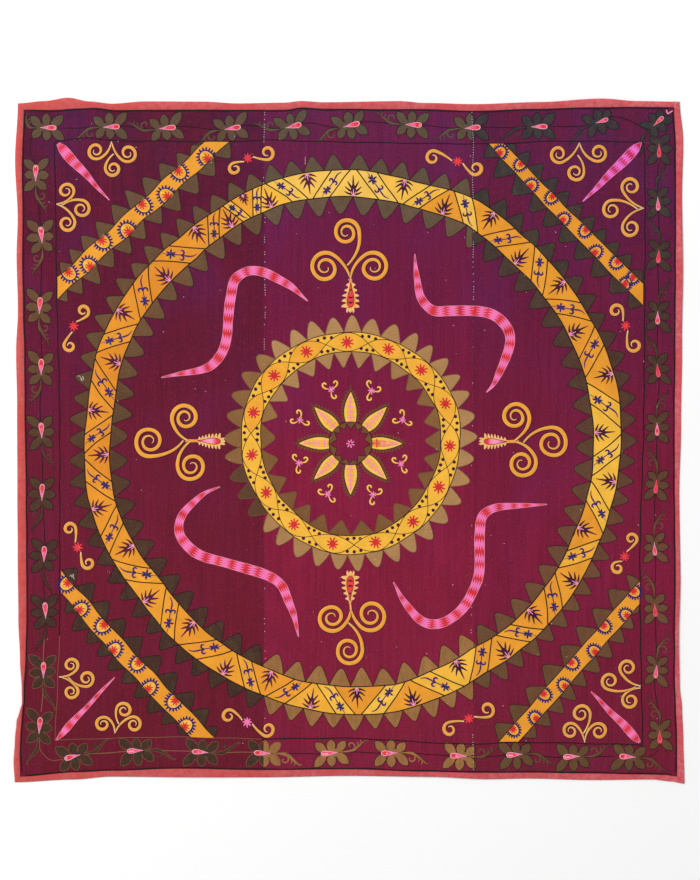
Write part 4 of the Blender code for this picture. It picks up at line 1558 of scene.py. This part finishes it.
def border():
    """Flowers joined by a stem, with a curling leaf between each two of them."""
    fill, line = Thread("border_flowers", leaf), Thread("border_lines", outline)
    drops = Thread("border_drops", red)
    for name, (way, bends, places) in BORDER_FLOWERS.items():
        turn = math.degrees(math.atan2(way[1], way[0]))
        onward = np.sign(np.dot(way, np.subtract(places[1], places[0])))
        stem = []
        for number, (at, bend) in enumerate(zip(places, bends)):
            at = np.array(at, float)
            pale = 0.9 if in_pale_corner(at) else 0.1
            lean = TURNED_FLOWERS.get((name, number), 4 * math.sin(1.9 * number))
            lean = polar(1.0, [turn + lean])[0]
            border_flower(fill, line, drops, at, lean, number, pale)
            if bend != "-":
                tendril(fill, line, at, lean, bend, pale)
            stem += [at - lean * onward * STEM_HOLD, at + lean * onward * STEM_HOLD]
        stem = spline(stem[1:-1])
        line.cord(stem, 1.5, FILL - 0.05, 0.8 * in_pale_corner(stem))
    for stem, pale in CORNER_STEMS:
        line.cord(spline(stem), 1.1, FILL - 0.05, pale)


def room_inside(point):
    """How far a point lies inward of the binding."""
    rooms = []
    for side in SIDES:
        distance, share = side_distance(side, np.array([point]))
        rooms.append(distance[0] - edge_shape(side, share)[1][0])
    return min(rooms)


def border_flower(fill, line, drops, at, way, number, pale):
    """Six petals round a pink drop with a lighter rim; those towards the binding stop short of it."""
    lift = 0.04 * (number % 3)
    on_right = at[0] > RIGHT_SIDE and at[1] < 950
    size = 0.9 if at[0] > RIGHT_SIDE else 1.0
    fill.patch(placed(spline(FLOWER_BODY, 4.0, True), at, way, size), FILL + 0.02 + lift, 0.45)
    for side, full in ((1, 0.93), (-1, 1.0)):
        for k, (root, tip, width) in enumerate(PETALS):
            reach = full + 0.05 * math.sin(number + 2 * k + side)
            room = room_inside(placed([np.multiply(tip, reach)], at, way, size, side)[0])
            reach -= max(0.0, PETAL_ROOM - room) * 1.2 / math.hypot(*tip)
            shape = placed(petal(root, np.multiply(tip, reach), width), at, way, size, side)
            fill.patch(shape, FILL - 0.03 * k + lift, 0.45 + 0.1 * math.sin(number + k))
            cut = len(shape) // 8
            line.cord(shape[cut:-cut], 0.65 if pale > 0.5 else 1.1, CORD - 0.1, pale)
    rim = spline(DROP, 3.0, True)
    size = 0.86 if on_right or at[0] > 600 and at[1] > 0 else 1.06
    drops.patch(placed(rim, at, way, size), THIRD, 0.92 if number % 2 or not on_right else 0.5)
    inner = placed(rim * (0.86, 0.74) + (-0.5, 0), at, way, size)
    drops.patch(inner, THIRD + 0.15, drop_tone(at, way, number))


def drop_tone(at, way, number):
    """Red at a drop's round head and pink at its tip, a little different in each."""
    def tone(plan):
        along = (plan - at) @ way
        reach = 0.42 if at[0] < RIGHT_SIDE or number % 2 else 0.1
        return 0.2 + reach * np.clip((along + 16) / 26, 0, 1) + 0.12 * np.sin(number * 2.4 + along / 4)
    return tone


def tendril(fill, line, at, way, bend, pale):
    """A curling leaf that leaves a flower's tip and bends to one side."""
    flip = 1 if bend == "i" else -1
    leaf_path, curl = (CORNER_TENDRIL, CORNER_CURL) if bend == "c" else (TENDRIL, TENDRIL_CURL)
    fill.stroke(placed(leaf_path, at, way, 1, flip), TENDRIL_WIDTHS, FILL, 0.65)
    fill.stroke(placed(curl, at, way, 1, flip), [2.4, 2.8, 2.4, 1.6], FILL + 0.03, 0.6)
    if bend != "c":
        for barb in TENDRIL_BARBS:
            fill.stroke(placed(barb, at, way, 1, flip), [4.0, 2.6, 1.0], FILL + 0.05, 0.6)
    path = spline(placed(leaf_path, at, way, 1, flip), STITCH_STEP)
    widths = np.interp(np.linspace(0, 1, len(path)), np.linspace(0, 1, len(TENDRIL_WIDTHS)), TENDRIL_WIDTHS)
    line.edges(path, widths + 0.3, 0.5, SECOND, pale)


# Stitches that show at a seam: from and to as shares of its length, and the chance of each stitch
SEAM_STITCHES = {
    LEFT_SEAM: ((0.93, 1.0, 0.9), (0.6, 0.93, 0.4), (0.0, 0.3, 0.12)),
    RIGHT_SEAM: ((0.85, 1.0, 0.95), (0.68, 0.85, 0.55), (0.0, 0.1, 0.5), (0.1, 0.6, 0.12)),
}
# Shares of the seam's length between stitches, along one, and left free at each end of a stretch
SEAM_STITCH_PITCH = 0.0037
SEAM_STITCH_LENGTH = 0.0013
SEAM_STITCH_MARGIN = 0.012

# Millimetres from the binding to the line that follows it
BINDING_LINE_ROOM = 3.2


def straight_lines():
    """The black line inside the binding, and the thin line that frames the field."""
    line = Thread("frame_lines", outline)
    for side in SIDES:
        share = np.linspace(0.006, 0.994, 360)
        _, width = edge_shape(side, share)
        line.cord(side_points(side, share, width + BINDING_LINE_ROOM), 2.1, CORD + 0.15, 0.05)
    for name, points in FRAME_LINE.items():
        pale = name.startswith("pale")
        line.cord(spline(points), 0.9 if pale else 1.7, CORD, 0.85 if pale else 0.05)


def seam_stitches():
    """The white stitches that show along the two seams."""
    stitches = Thread("seam_stitches", white)
    draw = np.random.default_rng(7)
    for seam, reaches in SEAM_STITCHES.items():
        for low, high, chance in reaches:
            for along in np.arange(low + SEAM_STITCH_MARGIN, high - SEAM_STITCH_MARGIN, SEAM_STITCH_PITCH):
                if draw.random() < chance:
                    ends = cloth_points(np.array([seam, seam]), np.array([along, along + SEAM_STITCH_LENGTH]))
                    stitches.cord(ends + (0.8, 0), 0.75, CORD + 0.2, draw.random())


def corner_mark():
    """A small pink chevron in the top right corner, and threads frayed from the binding there."""
    mark, frays = Thread("corner_chevron", red), Thread("frayed_threads", white)
    mark.stroke([(984, 1026), (986, 1019), (989, 1013)], [1.6, 2.4, 1.4], THIRD, 0.95)
    mark.stroke([(989, 1013), (996, 1018), (1004, 1022)], [1.4, 2.4, 1.6], THIRD, 0.95)
    draw = np.random.default_rng(11)
    for _ in range(14):
        at = np.array([1017 + draw.uniform(-6, 8), 1044 + draw.uniform(-12, 6)])
        way = draw.uniform(-1, 1, 2)
        path = [at, at + way * 5 + draw.uniform(-2, 2, 2), at + way * 9]
        frays.stroke(path, [0.3, 0.45, 0.3], 2.4 + draw.uniform(0, 0.4), draw.random())


# Loose stitches that the photograph shows: zigzags, and a column of short ends
LOOSENED_STITCHES = [
    [(-842, 200), (-836, 202), (-832, 195), (-827, 184), (-828, 192), (-825, 200), (-822, 187)],
    [(-865, -420), (-860, -415), (-857, -423), (-853, -412), (-852, -424), (-849, -428)],
]
LOOSENED_COLUMN = {"x": -135, "y": (857, 862, 867, 872, 878)}
FLECK_COUNT = 110


def loose_flecks():
    """Stitches that have worked loose, and short pale ends of thread here and there on the cloth."""
    flecks = Thread("loose_flecks", white)
    for path in LOOSENED_STITCHES:
        flecks.cord(spline(path, 2.0), 0.7, CORD + 0.2, 0.0)
    for y in LOOSENED_COLUMN["y"]:
        x = LOOSENED_COLUMN["x"]
        flecks.cord([(x, y), (x + 0.6, y + 2.4)], 0.9, CORD + 0.2, 0.0)
    draw = np.random.default_rng(23)
    for at in cloth_points(*draw.uniform(0.03, 0.97, (2, FLECK_COUNT))):
        way = polar(1.0, [draw.uniform(0, 180)])[0] * draw.uniform(0.9, 2.2)
        flecks.cord([at - way, at + way], draw.uniform(0.4, 0.7), CORD + 0.3, draw.random())


# Camera focal length and sensor in millimetres of the camera, and the photograph's scale and middle
CAMERA_FOCUS = 100.0
CAMERA_SENSOR = 36.0
MM_PER_PIXEL = 3.1
PHOTO_HEIGHT = 880
VIEW_CENTRE = (3.4, 2.3)

# The floor's half side, and how far it lies under the cloth, in metres
FLOOR_HALF = 40.0
FLOOR_DROP = 0.0006


def add_camera():
    """A camera straight above, at a distance that gives the photograph's scale."""
    data = bpy.data.cameras.new("camera")
    data.lens = CAMERA_FOCUS
    data.sensor_width = CAMERA_SENSOR
    camera = bpy.data.objects.new("camera", data)
    distance = PHOTO_HEIGHT * MM_PER_PIXEL * CAMERA_FOCUS / CAMERA_SENSOR
    camera.location = Vector((*VIEW_CENTRE, distance + PANEL_THICKNESS)) * MM
    bpy.context.scene.collection.objects.link(camera)
    bpy.context.scene.camera = camera


def add_light(name, location, size, power):
    """A soft square lamp that faces the middle of the cloth."""
    data = bpy.data.lights.new(name, "AREA")
    data.shape = "SQUARE"
    data.size = size
    data.energy = power
    lamp = bpy.data.objects.new(name, data)
    lamp.location = location
    lamp.rotation_euler = (-Vector(location)).to_track_quat("-Z", "Y").to_euler()
    bpy.context.scene.collection.objects.link(lamp)


def add_stage():
    """A wide pale floor, an even bright surround and one soft lamp from the upper left."""
    mesh = bpy.data.meshes.new("floor")
    corners = [(x * FLOOR_HALF, y * FLOOR_HALF, 0) for x, y in ((-1, -1), (1, -1), (1, 1), (-1, 1))]
    mesh.from_pydata(corners, [], [(0, 1, 2, 3)])
    mesh.materials.append(floor_finish())
    floor = bpy.data.objects.new("floor", mesh)
    floor.location.z = -FLOOR_DROP
    bpy.context.scene.collection.objects.link(floor)
    world = bpy.data.worlds.new("surround")
    world.use_nodes = True
    world.node_tree.nodes["Background"].inputs["Color"].default_value = (1.0, 1.0, 1.0, 1.0)
    world.node_tree.nodes["Background"].inputs["Strength"].default_value = 0.56
    bpy.context.scene.world = world
    add_light("key_light", (-6.0, 5.0, 9.0), 3.8, 950.0)
    bpy.context.scene.view_settings.view_transform = "Standard"


add_camera()
add_stage()
ground = ground_finish()
panels = [
    loom_panel("panel_left_cloth", 0, LEFT_SEAM, ground),
    loom_panel("panel_centre_cloth", LEFT_SEAM, RIGHT_SEAM, ground),
    loom_panel("panel_right_cloth", RIGHT_SEAM, 1, ground),
]
coral = binding_finish()
bindings = {side: binding_strip(side, coral) for side in SIDES}

outer_ring()
small_ring()
rosette()
scrolls()
snakes_and_tapers()
corner_bands()
border()
straight_lines()
seam_stitches()
corner_mark()
loose_flecks()
for thread in Thread.pieces:
    thread.build()
